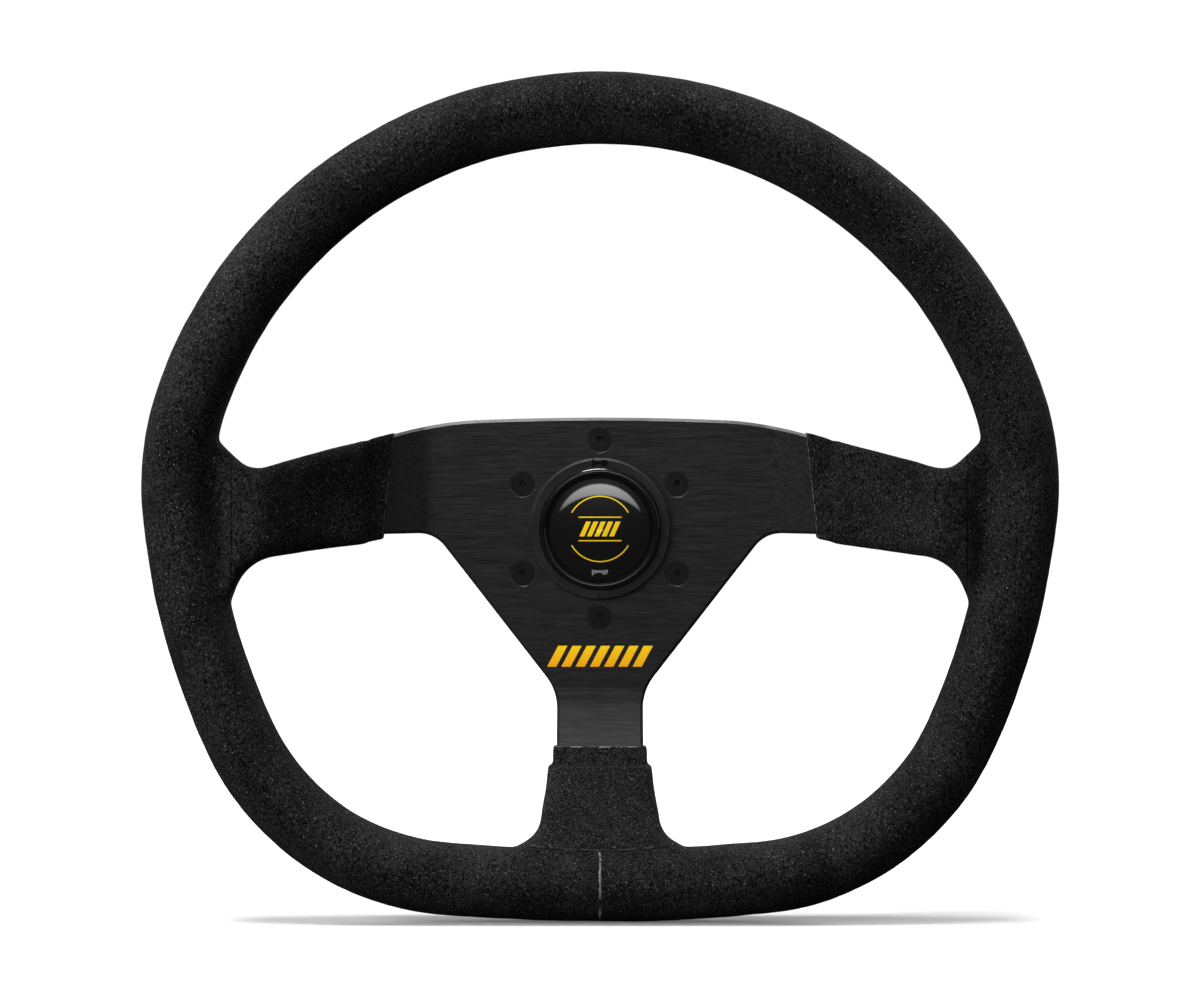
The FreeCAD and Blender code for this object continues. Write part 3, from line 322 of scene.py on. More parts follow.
def covers(skin):
    """Closed meshes of the grip's cover and of each sleeve's, by name, cut from the skin."""
    bm = bmesh.new()
    bm.from_mesh(skin)
    cut_hems(bm)
    plate_faces = [f for f in bm.faces if on_plate(f.calc_center_median())]
    bmesh.ops.delete(bm, geom=plate_faces, context="FACES")
    cut_seams(bm)
    largest = sorted(islands(bm), key=len, reverse=True)[:len(COVERED_NODES)]
    made = {}
    for island in largest:
        name = cover_name(island)
        made[name] = closed_mesh(name, island)
    bm.free()
    return made


# ---------------------------------------------------------------- shader helpers


class Shader:
    """A small builder for one material's nodes, or for one node group's nodes."""

    def __init__(self, tree):
        self.tree = tree

    def node(self, kind, label=None, **settings):
        made = self.tree.nodes.new(kind)
        made.label = label or ""
        for name, value in settings.items():
            setattr(made, name, value)
        return made

    def link(self, source, target):
        self.tree.links.new(source, target)

    def feed(self, target, value):
        """Sets a socket to a number or colour, or links an output to it."""
        if isinstance(value, bpy.types.NodeSocket):
            self.link(value, target)
        elif isinstance(value, tuple) and len(value) == 3 and len(target.default_value) == 4:
            target.default_value = (*value, 1.0)
        else:
            target.default_value = value

    def math(self, operation, first, second=0.0, third=0.0, clamp=False):
        made = self.node("ShaderNodeMath", operation=operation, use_clamp=clamp)
        for socket, value in zip(made.inputs, (first, second, third)):
            self.feed(socket, value)
        return made.outputs[0]

    def place(self, stretch=(1.0, 1.0, 1.0)):
        """The surface's place in the part's frame, in metres, stretched along each axis."""
        where = self.node("ShaderNodeTexCoord")
        mapping = self.node("ShaderNodeMapping")
        mapping.inputs["Scale"].default_value = stretch
        self.link(where.outputs["Object"], mapping.inputs["Vector"])
        return mapping.outputs["Vector"]

    def coordinates(self):
        """The surface's x, y and z in the part's frame, in metres."""
        parts = self.node("ShaderNodeSeparateXYZ")
        self.link(self.node("ShaderNodeTexCoord").outputs["Object"], parts.inputs[0])
        return parts.outputs["X"], parts.outputs["Y"], parts.outputs["Z"]

    def largest(self, first, *others):
        """The largest of several values."""
        for other in others:
            first = self.math("MAXIMUM", first, other)
        return first

    def noise(self, vector, scale, detail=2.0, roughness=0.5, distortion=0.0):
        made = self.node("ShaderNodeTexNoise")
        self.feed(made.inputs["Vector"], vector)
        self.feed(made.inputs["Scale"], scale)
        self.feed(made.inputs["Detail"], detail)
        self.feed(made.inputs["Roughness"], roughness)
        self.feed(made.inputs["Distortion"], distortion)
        return made.outputs["Fac"]

    def spread(self, value, low, high, to_low=0.0, to_high=1.0):
        """A value between low and high, mapped evenly to the range from to_low to to_high."""
        made = self.node("ShaderNodeMapRange")
        for name, number in (("Value", value), ("From Min", low), ("From Max", high), ("To Min", to_low),
                             ("To Max", to_high)):
            self.feed(made.inputs[name], number)
        return made.outputs["Result"]

    def mix(self, factor, first, second):
        made = self.node("ShaderNodeMix", data_type="RGBA")
        self.feed(made.inputs[0], factor)
        self.feed(made.inputs[6], first)
        self.feed(made.inputs[7], second)
        return made.outputs[2]

    def bump(self, height, strength, distance):
        made = self.node("ShaderNodeBump")
        made.inputs["Strength"].default_value = strength
        made.inputs["Distance"].default_value = distance
        self.feed(made.inputs["Height"], height)
        return made.outputs["Normal"]

    def group(self, tree, **values):
        made = self.node("ShaderNodeGroup", label=tree.name)
        made.node_tree = tree
        for name, value in values.items():
            self.feed(made.inputs[name.replace("_", " ")], value)
        return made.outputs


def new_group(name, inputs, outputs):
    """A shader node group with named sockets. Returns its builder, its input sockets and its output node."""
    tree = bpy.data.node_groups.new(name, "ShaderNodeTree")
    for socket, (kind, default) in inputs.items():
        made = tree.interface.new_socket(name=socket, in_out="INPUT", socket_type=kind)
        if default is not None:
            made.default_value = default
    for socket, kind in outputs.items():
        tree.interface.new_socket(name=socket, in_out="OUTPUT", socket_type=kind)
    build = Shader(tree)
    return build, build.node("NodeGroupInput").outputs, build.node("NodeGroupOutput")


def new_material(name):
    """A material with one Principled shader. Returns the material, its builder and its shader."""
    material = bpy.data.materials.new(name)
    material.use_nodes = True
    build = Shader(material.node_tree)
    return material, build, material.node_tree.nodes["Principled BSDF"]


FLOAT = "NodeSocketFloat"
VECTOR = "NodeSocketVector"


def edge_wear_group():
    """Where edges are sharp: 1 on an edge and 0 on the flat, broken up by noise."""
    build, given, out = new_group(
        "edge wear", {"Radius": (FLOAT, 0.0004), "Amount": (FLOAT, 1.0), "Breakup": (FLOAT, 900.0)},
        {"Edge": FLOAT})
    bevel = build.node("ShaderNodeBevel", samples=4)
    build.link(given["Radius"], bevel.inputs["Radius"])
    true_normal = build.node("ShaderNodeNewGeometry").outputs["Normal"]
    dot = build.node("ShaderNodeVectorMath", operation="DOT_PRODUCT")
    build.link(bevel.outputs["Normal"], dot.inputs[0])
    build.link(true_normal, dot.inputs[1])
    turned = build.spread(build.math("SUBTRACT", 1.0, dot.outputs["Value"]), 0.01, 0.18)
    chips = build.spread(build.noise(build.place(), given["Breakup"], 3.0, 0.6), 0.38, 0.62)
    worn = build.math("MULTIPLY", build.math("MULTIPLY", turned, chips), given["Amount"], clamp=True)
    build.link(worn, out.inputs["Edge"])
    return build.tree


def handling_group():
    """Smudges and fine dust: broad soft patches and a few bright specks."""
    build, given, out = new_group(
        "handling", {"Patch Size": (FLOAT, 0.03), "Speck Size": (FLOAT, 0.0006)},
        {"Patches": FLOAT, "Specks": FLOAT})
    where = build.place()
    patches = build.noise(where, build.math("DIVIDE", 1.0, given["Patch Size"]), 3.0, 0.55, 0.4)
    specks = build.noise(where, build.math("DIVIDE", 1.0, given["Speck Size"]), 1.0, 0.4)
    build.link(build.spread(patches, 0.3, 0.7), out.inputs["Patches"])
    build.link(build.spread(specks, 0.76, 0.82), out.inputs["Specks"])
    return build.tree


def brushed_group():
    """Fine parallel scratches. They run along the axis where Stretch has its smallest number."""
    build, given, out = new_group(
        "brushed grain", {"Stretch": (VECTOR, (1.0, 1.0, 1.0)), "Scratch Size": (FLOAT, 0.0003)},
        {"Scratches": FLOAT, "Height": FLOAT})
    where = build.node("ShaderNodeTexCoord").outputs["Object"]
    along = build.node("ShaderNodeVectorMath", operation="MULTIPLY")
    build.link(where, along.inputs[0])
    build.link(given["Stretch"], along.inputs[1])
    size = build.math("DIVIDE", 1.0, given["Scratch Size"])
    fine = build.noise(along.outputs[0], size, 2.0, 0.6)
    coarse = build.noise(along.outputs[0], build.math("MULTIPLY", size, 0.3), 3.0, 0.6)
    both = build.math("ADD", build.math("MULTIPLY", fine, 0.55), build.math("MULTIPLY", coarse, 0.45))
    build.link(build.spread(both, 0.3, 0.7), out.inputs["Scratches"])
    build.link(fine, out.inputs["Height"])
    return build.tree


def turning_group():
    """Rings left by a lathe round the steering axis."""
    build, given, out = new_group("turning marks", {"Pitch": (FLOAT, 0.0002)}, {"Rings": FLOAT})
    x, y, z = build.coordinates()
    radius = build.math("SQRT", build.math("ADD", build.math("POWER", x, 2.0), build.math("POWER", z, 2.0)))
    rings = build.node("ShaderNodeCombineXYZ")
    build.link(radius, rings.inputs["X"])
    build.link(y, rings.inputs["Y"])
    made = build.noise(rings.outputs[0], build.math("DIVIDE", 1.0, given["Pitch"]), 2.0, 0.6)
    build.link(build.spread(made, 0.3, 0.7), out.inputs["Rings"])
    return build.tree


def nap_group():
    """The nap of suede: short tufts, brushed patches, pale fibre tips, and the height of the tufts."""
    build, given, out = new_group(
        "suede nap", {"Tuft Size": (FLOAT, 0.0009), "Patch Size": (FLOAT, 0.035)},
        {"Tufts": FLOAT, "Brushed": FLOAT, "Tips": FLOAT, "Height": FLOAT})
    where = build.place((1.0, 1.0, 0.75))
    tuft = build.math("DIVIDE", 1.0, given["Tuft Size"])
    tufts = build.noise(where, tuft, 3.0, 0.62, 0.6)
    fibres = build.noise(where, build.math("MULTIPLY", tuft, 2.7), 2.0, 0.6)
    brushed = build.noise(where, build.math("DIVIDE", 1.0, given["Patch Size"]), 3.0, 0.5, 0.8)
    tips = build.noise(where, build.math("MULTIPLY", tuft, 1.9), 1.0, 0.5)
    height = build.math("ADD", build.math("MULTIPLY", tufts, 0.7), build.math("MULTIPLY", fibres, 0.3))
    build.link(build.spread(height, 0.43, 0.62), out.inputs["Tufts"])
    build.link(build.spread(brushed, 0.32, 0.68), out.inputs["Brushed"])
    build.link(build.spread(tips, 0.70, 0.76), out.inputs["Tips"])
    build.link(height, out.inputs["Height"])
    return build.tree


EDGE_WEAR = edge_wear_group()
HANDLING = handling_group()
BRUSHED = brushed_group()
TURNING = turning_group()
NAP = nap_group()


# ---------------------------------------------------------------- finishes


def black_suede():
    """Black suede: mottled by its nap, with frayed pale lines along its hems and its bottom seams."""
    material, build, shader = new_material("black_suede")
    nap = build.group(NAP, Tuft_Size=0.0008, Patch_Size=0.03)
    dark = build.mix(nap["Tufts"], (0.0012, 0.0012, 0.0014), (0.030, 0.030, 0.031))
    brushed = build.mix(build.math("MULTIPLY", nap["Brushed"], nap["Tufts"]), dark, (0.056, 0.056, 0.057))
    tipped = build.mix(nap["Tips"], brushed, (0.42, 0.42, 0.42))
    seams = build.mix(pale_lines(build), tipped, (0.55, 0.55, 0.54))
    build.link(seams, shader.inputs["Base Color"])
    shader.inputs["Roughness"].default_value = 0.96
    shader.inputs["Specular IOR Level"].default_value = 0.08
    shader.inputs["Sheen Weight"].default_value = 0.04
    shader.inputs["Sheen Roughness"].default_value = 0.45
    shader.inputs["Sheen Tint"].default_value = (0.5, 0.5, 0.52, 1.0)
    build.link(build.bump(nap["Height"], 1.0, 0.0013), shader.inputs["Normal"])
    return material


FRAY_REACH = 1.9 * MM
SIDE_LINE_REACH = 45 * MM
FOOT_HEM_REACH = 25 * MM
FOOT_SEAM_REACH = 28 * MM


def pale_lines(build):
    """Thin frayed pale lines: the raw edges of the hems, and the two seams at the bottom of the grip."""
    x, _, z = build.coordinates()
    away = build.math("ABSOLUTE", x)
    fray = build.noise(build.place(), 420.0, 3.0, 0.6)
    shift = build.math("MULTIPLY", build.math("SUBTRACT", fray, 0.5), FRAY_REACH)
    broken = build.spread(build.noise(build.place(), 260.0, 2.0, 0.5), 0.36, 0.60)

    def line(distance, width, where, strength):
        """A frayed line of a width where the distance is zero, kept only where the mask is 1."""
        off = build.math("ABSOLUTE", build.math("ADD", distance, shift))
        near = build.math("MULTIPLY", build.spread(off, 0.0, width, 1.0, 0.0), broken)
        return build.math("MULTIPLY", build.math("MULTIPLY", near, where), strength)

    slope = (HEM_LOW.x - HEM_TOP.x) / (HEM_LOW.z - HEM_TOP.z)
    hem_x = build.math("MULTIPLY_ADD", build.math("SUBTRACT", z, HEM_TOP.z), slope, HEM_TOP.x + HEM_INSET)
    seam_z = build.math("MULTIPLY_ADD", build.math("MULTIPLY", x, x), FOOT_SEAM_CURVE, FOOT_SEAM_Z + 0.3 * MM)
    below_seam = build.math("LESS_THAN", z, FOOT_SEAM_Z - 0.4 * MM)
    side_spokes = build.math("LESS_THAN", build.math("ABSOLUTE", z), SIDE_LINE_REACH)
    foot_hem_reach = build.math("LESS_THAN", away, FOOT_HEM_REACH)
    foot_seam_reach = build.math("LESS_THAN", away, FOOT_SEAM_REACH)
    lines = build.largest(
        line(x, 0.5 * MM, below_seam, 1.0),
        line(build.math("SUBTRACT", z, seam_z), 0.35 * MM, foot_seam_reach, 0.22),
        line(build.math("SUBTRACT", away, hem_x), 0.30 * MM, side_spokes, 0.6),
        line(build.math("SUBTRACT", z, FOOT_HEM_Z), 0.32 * MM, foot_hem_reach, 1.0))
    return build.math("MULTIPLY", lines, 0.85)


def anodised_plate():
    """Black anodised sheet with a brushed grain across the wheel, and faint bare metal on its edges."""
    material, build, shader = new_material("black_anodised_plate")
    grain = build.group(BRUSHED, Stretch=(0.05, 1.0, 1.0), Scratch_Size=0.0004)
    worn = build.group(EDGE_WEAR, Radius=0.0003, Amount=0.2)
    handled = build.group(HANDLING, Patch_Size=0.05, Speck_Size=0.0005)
    base = build.mix(grain["Scratches"], (0.002, 0.002, 0.0022), (0.042, 0.042, 0.043))
    specked = build.mix(build.math("MULTIPLY", handled["Specks"], 0.25), base, (0.2, 0.2, 0.2))
    edged = build.mix(build.math("MULTIPLY", worn["Edge"], 0.4), specked, (0.16, 0.16, 0.17))
    build.link(edged, shader.inputs["Base Color"])
    rough = build.math("ADD", build.spread(grain["Scratches"], 0.0, 1.0, 0.46, 0.34),
                       build.spread(handled["Patches"], 0.0, 1.0, -0.03, 0.05))
    build.link(rough, shader.inputs["Roughness"])
    shader.inputs["Metallic"].default_value = 0.0
    shader.inputs["Specular IOR Level"].default_value = 0.36
    shader.inputs["Anisotropic"].default_value = 0.4
    build.link(build.bump(grain["Height"], 0.5, 0.00010), shader.inputs["Normal"])
    return material


def turned_metal(name, dark, light, roughness, pitch, wear=0.5, bare=(0.75, 0.75, 0.76), metallic=1.0):
    """Lathe-turned metal with rings, handling smudges and brighter edges."""
    material, build, shader = new_material(name)
    rings = build.group(TURNING, Pitch=pitch)
    worn = build.group(EDGE_WEAR, Radius=0.0003, Amount=wear)
    handled = build.group(HANDLING, Patch_Size=0.02, Speck_Size=0.0005)
    base = build.mix(rings["Rings"], dark, light)
    edged = build.mix(worn["Edge"], base, bare)
    build.link(edged, shader.inputs["Base Color"])
    rough = build.math("ADD", build.spread(rings["Rings"], 0.0, 1.0, roughness + 0.05, roughness - 0.05),
                       build.spread(handled["Patches"], 0.0, 1.0, -0.04, 0.06))
    build.link(rough, shader.inputs["Roughness"])
    shader.inputs["Metallic"].default_value = metallic
    build.link(build.bump(rings["Rings"], 0.18, 0.00004), shader.inputs["Normal"])
    return material


def black_oxide():
    """Black oxide steel: nearly black, slightly oily, with bright corners round the hexagon and rim."""
    material, build, shader = new_material("black_oxide_steel")
    worn = build.group(EDGE_WEAR, Radius=0.00022, Amount=0.8, Breakup=1500.0)
    handled = build.group(HANDLING, Patch_Size=0.004, Speck_Size=0.0003)
    base = build.mix(handled["Patches"], (0.004, 0.004, 0.004), (0.012, 0.012, 0.0125))
    build.link(build.mix(build.math("MULTIPLY", worn["Edge"], 0.9), base, (0.26, 0.26, 0.27)),
               shader.inputs["Base Color"])
    build.link(build.spread(handled["Patches"], 0.0, 1.0, 0.42, 0.30), shader.inputs["Roughness"])
    shader.inputs["Metallic"].default_value = 0.35
    return material


def plain_metal(name, dark, light, roughness, patch):
    """Drawn, ground or stamped metal with soft patches of tarnish."""
    material, build, shader = new_material(name)
    handled = build.group(HANDLING, Patch_Size=patch, Speck_Size=0.0004)
    worn = build.group(EDGE_WEAR, Radius=0.0002, Amount=0.4)
    base = build.mix(handled["Patches"], dark, light)
    build.link(build.mix(worn["Edge"], base, light), shader.inputs["Base Color"])
    build.link(build.spread(handled["Patches"], 0.0, 1.0, roughness + 0.08, roughness - 0.04),
               shader.inputs["Roughness"])
    shader.inputs["Metallic"].default_value = 1.0
    return material


def moulded_plastic():
    """Matt black moulded plastic with a fine spark-eroded texture, and pale edges that are partly wear and
    partly a painted highlight.
    """
    material, build, shader = new_material("matt_black_plastic_painted_edge_highlight")
    worn = build.group(EDGE_WEAR, Radius=0.0003, Amount=1.0, Breakup=300.0)
    handled = build.group(HANDLING, Patch_Size=0.012, Speck_Size=0.0004)
    texture = build.noise(build.place(), 3200.0, 2.0, 0.6)
    base = build.mix(handled["Patches"], (0.012, 0.012, 0.0125), (0.024, 0.024, 0.025))
    # The sharp edges are painted pale grey: partly wear, partly a painted highlight along the chamfers.
    build.link(build.mix(build.math("MULTIPLY", worn["Edge"], 0.8), base, (0.30, 0.30, 0.30)),
               shader.inputs["Base Color"])
    build.link(build.spread(texture, 0.3, 0.7, 0.55, 0.70), shader.inputs["Roughness"])
    build.link(build.bump(texture, 0.3, 0.00006), shader.inputs["Normal"])
    return material


def gloss_plastic():
    """Gloss black moulded plastic with faint swirls from wiping."""
    material, build, shader = new_material("gloss_black_plastic")
    handled = build.group(HANDLING, Patch_Size=0.008, Speck_Size=0.0004)
    swirls = build.noise(build.place((1.0, 1.0, 0.25)), 2600.0, 2.0, 0.5, 1.5)
    build.link(build.mix(handled["Patches"], (0.004, 0.004, 0.0042), (0.007, 0.007, 0.0073)),
               shader.inputs["Base Color"])
    build.link(build.spread(swirls, 0.4, 0.7, 0.09, 0.16), shader.inputs["Roughness"])
    shader.inputs["Coat Weight"].default_value = 0.5
    shader.inputs["Coat Roughness"].default_value = 0.05
    return material


def enamel():
    """Yellow enamel under a clear gloss, with painted shade that makes it deeper and more orange at the foot
    of each bar, and a faint painted glow.
    """
    material, build, shader = new_material("yellow_enamel")
    low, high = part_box("spoke_inlay")
    rise = build.spread(build.coordinates()[2], low.z, high.z)
    handled = build.group(HANDLING, Patch_Size=0.003, Speck_Size=0.0003)
    # Painted shade: deep orange at the foot of each bar, paler yellow at its top, as if lit from above.
    base = build.mix(rise, (0.90, 0.36, 0.002), (0.98, 0.62, 0.004))
    build.link(build.mix(build.math("MULTIPLY", handled["Patches"], 0.25), base, (1.0, 0.70, 0.02)),
               shader.inputs["Base Color"])
    # Painted light: the enamel's colour is also emitted, a faint glow though it is no lamp.
    build.link(base, shader.inputs["Emission Color"])
    shader.inputs["Emission Strength"].default_value = 0.42
    build.link(build.spread(handled["Patches"], 0.0, 1.0, 0.30, 0.22), shader.inputs["Roughness"])
    shader.inputs["Coat Weight"].default_value = 0.8
    shader.inputs["Coat Roughness"].default_value = 0.06
    return material


PRINT_LEAN = 0.45
PRINT_BAR_PITCH = 2.9 * MM
PRINT_BAR_HALF_WIDTH = 0.95 * MM
PRINT_BAR_HALF_HEIGHT = 2.9 * MM
PRINT_RULE_Z = 4.6 * MM
PRINT_RULE_HALF_LENGTH = 8.4 * MM
PRINT_LINE_HALF_WIDTH = 0.22 * MM
PRINT_RING_INSET = 6.9 * MM
PRINT_RING_GAP_HALF_HEIGHT = 6.4 * MM


def printed_badge_painted_light():
    """The domed badge: leaning yellow bars, two rules and a parted ring on black, under clear resin. The
    print has painted shade towards the bottom and a faint painted glow.
    """
    material, build, shader = new_material("printed_badge_painted_light")
    x, _, z = build.coordinates()
    radius = build.math("SQRT", build.math("ADD", build.math("MULTIPLY", x, x), build.math("MULTIPLY", z, z)))

    def band(value, middle, half, soft=0.05 * MM):
        distance = build.math("ABSOLUTE", build.math("SUBTRACT", value, middle))
        return build.spread(distance, half - soft, half + soft, 1.0, 0.0)

    lean = build.math("SUBTRACT", x, build.math("MULTIPLY", z, PRINT_LEAN))
    bars = [band(lean, step * PRINT_BAR_PITCH, PRINT_BAR_HALF_WIDTH) for step in (-2, -1, 0, 1, 2)]
    bars = build.math("MULTIPLY", build.largest(*bars), band(z, 0.0, PRINT_BAR_HALF_HEIGHT))
    rules = build.largest(*[band(z, side * PRINT_RULE_Z, PRINT_LINE_HALF_WIDTH) for side in (1, -1)])
    rules = build.math("MULTIPLY", rules, band(x, 0.0, PRINT_RULE_HALF_LENGTH))
    beyond_gap = build.math("GREATER_THAN", build.math("ABSOLUTE", z), PRINT_RING_GAP_HALF_HEIGHT)
    ring = band(radius, badge_radius - PRINT_RING_INSET, PRINT_LINE_HALF_WIDTH)
    ring = build.math("MULTIPLY", ring, beyond_gap)
    printed = build.largest(bars, rules, ring)
    grain = build.noise(build.place(), 1500.0, 2.0, 0.5)
    black = build.mix(grain, (0.0035, 0.0035, 0.0035), (0.006, 0.006, 0.006))
    # Painted shade: the print is deeper orange low on the badge and paler towards its top, as if lit from
    # above.
    rise = build.spread(z, -13 * MM, 13 * MM)
    yellow = build.mix(rise, (0.86, 0.52, 0.004), (0.95, 0.68, 0.01))
    build.link(build.mix(printed, black, yellow), shader.inputs["Base Color"])
    # Painted light: the print also glows faintly, though it is no lamp.
    build.link(build.mix(printed, (0.0, 0.0, 0.0), yellow), shader.inputs["Emission Color"])
    shader.inputs["Emission Strength"].default_value = 0.4
    build.link(build.spread(grain, 0.0, 1.0, 0.34, 0.44), shader.inputs["Roughness"])
    shader.inputs["Specular IOR Level"].default_value = 0.2
    shader.inputs["Coat Weight"].default_value = 1.0
    shader.inputs["Coat Roughness"].default_value = 0.03
    return material


def moulded_foam():
    """Black polyurethane foam with open pores."""
    material, build, shader = new_material("moulded_foam")
    pores = build.noise(build.place(), 1400.0, 3.0, 0.6)
    build.link(build.mix(pores, (0.02, 0.02, 0.02), (0.05, 0.05, 0.05)), shader.inputs["Base Color"])
    shader.inputs["Roughness"].default_value = 0.9
    build.link(build.bump(pores, 0.5, 0.0002), shader.inputs["Normal"])
    return material


# ---------------------------------------------------------------- finishes on the CAD nodes

suede = black_suede()
plastic = moulded_plastic()
gloss_black = gloss_plastic()
spring_steel = plain_metal("spring_steel", (0.30, 0.30, 0.31), (0.50, 0.50, 0.52), 0.32, 0.01)
hard_steel = turned_metal("hardened_steel", (0.24, 0.235, 0.23), (0.34, 0.335, 0.33), 0.34, 0.00025)
brass = plain_metal("stamped_brass", (0.55, 0.36, 0.12), (0.80, 0.60, 0.27), 0.28, 0.006)
polished_steel = plain_metal("polished_ball_steel", (0.62, 0.62, 0.63), (0.80, 0.80, 0.81), 0.10, 0.004)
hub_metal = turned_metal("turned_aluminium", (0.52, 0.52, 0.54), (0.70, 0.70, 0.72), 0.34, 0.00022, wear=0.35)
collar_metal = turned_metal(
    "anodised_collar", (0.010, 0.010, 0.011), (0.028, 0.028, 0.030), 0.36, 0.00025, wear=0.7,
    bare=(0.38, 0.38, 0.39), metallic=0.55)
tube_metal = plain_metal("plain_aluminium", (0.50, 0.50, 0.52), (0.66, 0.66, 0.68), 0.40, 0.02)

CAD_FINISHES = {
    "spoke_plate": anodised_plate(), "spoke_inlay": enamel(), "rim_core_tube": tube_metal,
    "rim_foam": moulded_foam(), "wheel_screws": black_oxide(), "hub_body": hub_metal,
    "spline_sleeve": hard_steel, "sleeve_lock_ring": hard_steel, "collar_circlip": spring_steel,
    "collar_spring": spring_steel, "release_collar": collar_metal, "horn_bezel": plastic, "horn_cup": plastic,
    "fixed_contact": brass, "return_contact": brass, "moving_contact": brass, "horn_spring": spring_steel,
    "stem_clip": spring_steel, "horn_cap": gloss_black, "button_badge": printed_badge_painted_light(),
}
for number in range(1, 7):
    CAD_FINISHES[f"lock_ball_{number}"] = polished_steel
for node in COVERED_NODES.values():
    CAD_FINISHES[node] = suede
for node, finish in CAD_FINISHES.items():
    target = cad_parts[node]
    if not target.material_slots:
        target.data.materials.append(finish)
    for holder in target.material_slots:
        holder.material = finish

# ---------------------------------------------------------------- covers in place

skin = suede_body()
hand_stretched(skin)
for name, mesh in covers(skin).items():
    cover = new_piece(name, mesh, "wheel", suede)
    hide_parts(COVERED_NODES[name])

# ---------------------------------------------------------------- horn marks


def horn_outline(width):
    """The outline of a small bulb horn lying on its side: a bell, a tapering pipe and a round bulb."""
    bell = [(-0.50, 0.31), (-0.43, 0.24), (-0.33, 0.14), (-0.20, 0.09)]
    pipe = [(0.06, 0.08)]
    turns = [math.radians(degrees) for degrees in range(160, -1, -20)]
    bulb = [(0.28 + 0.22 * math.cos(turn), 0.21 * math.sin(turn)) for turn in turns]
    upper = bell + pipe + bulb
    lower = [(x, -z) for x, z in reversed(upper[:-1])]
    return [(x * width, z * width) for x, z in upper + lower]


def horn_mark(name, width, centre, front_y, thick, body, material):
    """A raised horn mark facing the driver, with its back sunk into the surface it sits on."""
    bm = bmesh.new()
    for x, z in horn_outline(width):
        bm.verts.new((centre[0] + x, front_y, centre[1] + z))
    face = bm.faces.new(bm.verts)
    sunk = bmesh.ops.extrude_face_region(bm, geom=[face])["geom"]
    bmesh.ops.translate(bm, vec=(0, thick, 0), verts=[v for v in sunk if isinstance(v, bmesh.types.BMVert)])
    bmesh.ops.recalc_face_normals(bm, faces=bm.faces)
    mesh = bpy.data.meshes.new(name)
    bm.to_mesh(mesh)
    bm.free()
    return new_piece(name, mesh, body, material)


BEZEL_MARK_WIDTH = 6.0 * MM
BEZEL_MARK_RISE = 0.25 * MM
BEZEL_MARK_THICK = 0.6 * MM
BADGE_MARK_WIDTH = 6.4 * MM
BADGE_MARK_Z = -16.6 * MM
BADGE_MARK_RISE = 0.05 * MM
BADGE_MARK_THICK = 0.3 * MM
bezel_middle = (bezel_high.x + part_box("horn_cap")[1].x) / 2
dome_fall = BADGE_MARK_Z ** 2 / (2 * BADGE_DOME_RADIUS)
silver_print = plain_metal("silver_print", (0.55, 0.55, 0.56), (0.80, 0.80, 0.81), 0.30, 0.003)
horn_mark("bezel_horn_mark", BEZEL_MARK_WIDTH, (0, bezel_middle), bezel_low.y - BEZEL_MARK_RISE,
          BEZEL_MARK_THICK, "wheel", gloss_black)
horn_mark("badge_horn_mark", BADGE_MARK_WIDTH, (0, BADGE_MARK_Z), badge_low.y + dome_fall - BADGE_MARK_RISE,
          BADGE_MARK_THICK, "button", silver_print)

# ---------------------------------------------------------------- studio

FLOOR_SIZE = 12


def studio_paper():
    """White paper to the camera and dark cloth to every other ray, so that no light is thrown back up."""
    material, build, shader = new_material("studio_paper")
    mottle = build.noise(build.place(), 90.0, 3.0, 0.5)
    build.link(build.mix(mottle, (0.83, 0.83, 0.83), (0.85, 0.85, 0.85)), shader.inputs["Base Color"])
    shader.inputs["Roughness"].default_value = 0.9
    shader.inputs["Specular IOR Level"].default_value = 0.0
    shader.inputs["Emission Color"].default_value = (1.0, 1.0, 1.0, 1.0)
    shader.inputs["Emission Strength"].default_value = 0.10
    cloth = build.node("ShaderNodeBsdfDiffuse")
    cloth.inputs["Color"].default_value = (0.03, 0.03, 0.03, 1.0)
    chosen = build.node("ShaderNodeMixShader")
    build.link(build.node("ShaderNodeLightPath").outputs["Is Camera Ray"], chosen.inputs[0])
    build.link(cloth.outputs[0], chosen.inputs[1])
    build.link(shader.outputs[0], chosen.inputs[2])
    build.link(chosen.outputs[0], material.node_tree.nodes["Material Output"].inputs["Surface"])
    return material


bpy.ops.mesh.primitive_plane_add(size=FLOOR_SIZE, location=(0, 0, cad_low.z))
floor = bpy.context.object
floor.name = "studio_floor"
floor.data.materials.append(studio_paper())


def lamp(name, kind, place, aim, power, **settings):
    """A studio lamp at a place, pointing at another place. Power is in watts, or for a sun in W/m2."""
    light = bpy.data.lights.new(name, kind)
    light.energy = power
    for setting, value in settings.items():
        setattr(light, setting, value)
    made = bpy.data.objects.new(name, light)
    made.location = place
    made.rotation_euler = (Vector(aim) - Vector(place)).to_track_quat("-Z", "Y").to_euler()
    bpy.context.scene.collection.objects.link(made)
    return made


def soft_box(name, place, aim, power, width, height):
    """A rectangular studio light."""
    return lamp(name, "AREA", place, aim, power, shape="RECTANGLE", size=width, size_y=height)


lamp("overhead", "SUN", (-0.2, -0.12, 2.0), (0, 0, 0), 3.7, angle=math.radians(24))
left_box = soft_box("left_box", (-0.75, -0.62, 0.22), (-0.12, -0.1, 0.03), 6.2, 0.5, 0.7)
left_box.visible_glossy = False
soft_box("right_box", (1.3, -0.9, 0.35), (0, -0.1, 0), 0.6, 0.5, 0.8)
soft_box("back_box", (0.7, 1.5, 0.9), (0, 0, 0), 16.0, 0.9, 0.7)

# The sky's measures are parts of a unit direction. Its bright crescent is what the domed badge reflects.
CRESCENT_DISC = (0.0, 0.34, 0.004)
CRESCENT_BITE = (-0.193, 0.449, 0.006)
CRESCENT_HEIGHTS = (0.12, 0.34)
CRESCENT_STRENGTHS = (3.0, 11.0)
WHITE_STRENGTH = 1.05


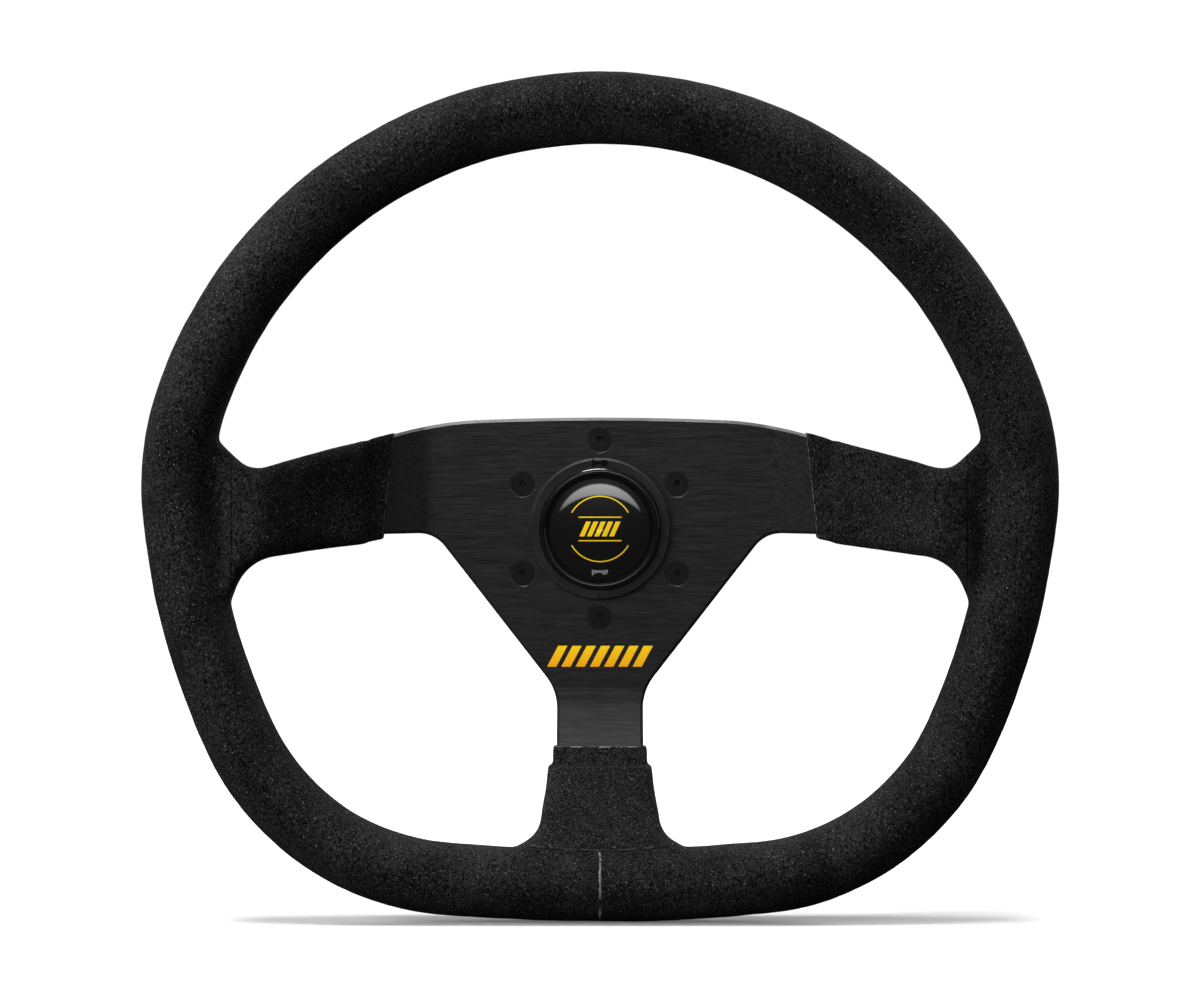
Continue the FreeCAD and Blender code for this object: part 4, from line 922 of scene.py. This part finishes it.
def studio_sky():
    """White to the camera. Other rays see a dim sky, lighter overhead and behind, and a crescent in front."""
    world = bpy.data.worlds.new("studio")
    world.use_nodes = True
    air = Shader(world.node_tree)
    direction = air.node("ShaderNodeSeparateXYZ")
    air.link(air.node("ShaderNodeTexCoord").outputs["Generated"], direction.inputs[0])
    across, ahead, up = direction.outputs["X"], direction.outputs["Y"], direction.outputs["Z"]

    def disc(height, radius, soft):
        """1 inside a round patch seen along the Y axis, centred at a height above the level."""
        away = air.math("SQRT", air.math("ADD", air.math("POWER", across, 2.0),
                                         air.math("POWER", air.math("SUBTRACT", up, height), 2.0)))
        return air.spread(away, radius - soft, radius + soft, 1.0, 0.0)

    crescent = air.math("MULTIPLY", disc(*CRESCENT_DISC), air.math("SUBTRACT", 1.0, disc(*CRESCENT_BITE)))
    crescent = air.math("MULTIPLY", crescent, air.math("LESS_THAN", ahead, 0.0))
    crescent = air.math("MULTIPLY", crescent, air.spread(up, *CRESCENT_HEIGHTS, *CRESCENT_STRENGTHS))
    overhead = air.spread(up, 0.1, 1.0, 0.03, 0.30)
    dome = air.math("MULTIPLY", overhead, air.spread(ahead, -1.0, 0.6, 1.0, 1.6))
    lit = air.node("ShaderNodeBackground")
    air.link(air.math("ADD", dome, crescent), lit.inputs["Strength"])
    white = world.node_tree.nodes["Background"]
    white.inputs["Color"].default_value = (1, 1, 1, 1)
    white.inputs["Strength"].default_value = WHITE_STRENGTH
    chosen = air.node("ShaderNodeMixShader")
    air.link(air.node("ShaderNodeLightPath").outputs["Is Camera Ray"], chosen.inputs[0])
    air.link(lit.outputs[0], chosen.inputs[1])
    air.link(white.outputs[0], chosen.inputs[2])
    air.link(chosen.outputs[0], world.node_tree.nodes["World Output"].inputs["Surface"])
    return world


bpy.context.scene.world = studio_sky()
bpy.context.scene.view_settings.view_transform = "Standard"

# ---------------------------------------------------------------- camera

CAMERA_DISTANCE = 1.265
CAMERA_HEIGHT = 0.0129
SENSOR_WIDTH_MM = 36.0
LENS_MM = 96.5
camera_data = bpy.data.cameras.new("camera")
camera_data.sensor_width = SENSOR_WIDTH_MM
camera_data.lens = LENS_MM
camera = bpy.data.objects.new("camera", camera_data)
camera.location = (0, plate_front_y - CAMERA_DISTANCE, CAMERA_HEIGHT)
camera.rotation_euler = (math.radians(90), 0, 0)
bpy.context.scene.collection.objects.link(camera)
bpy.context.scene.camera = camera
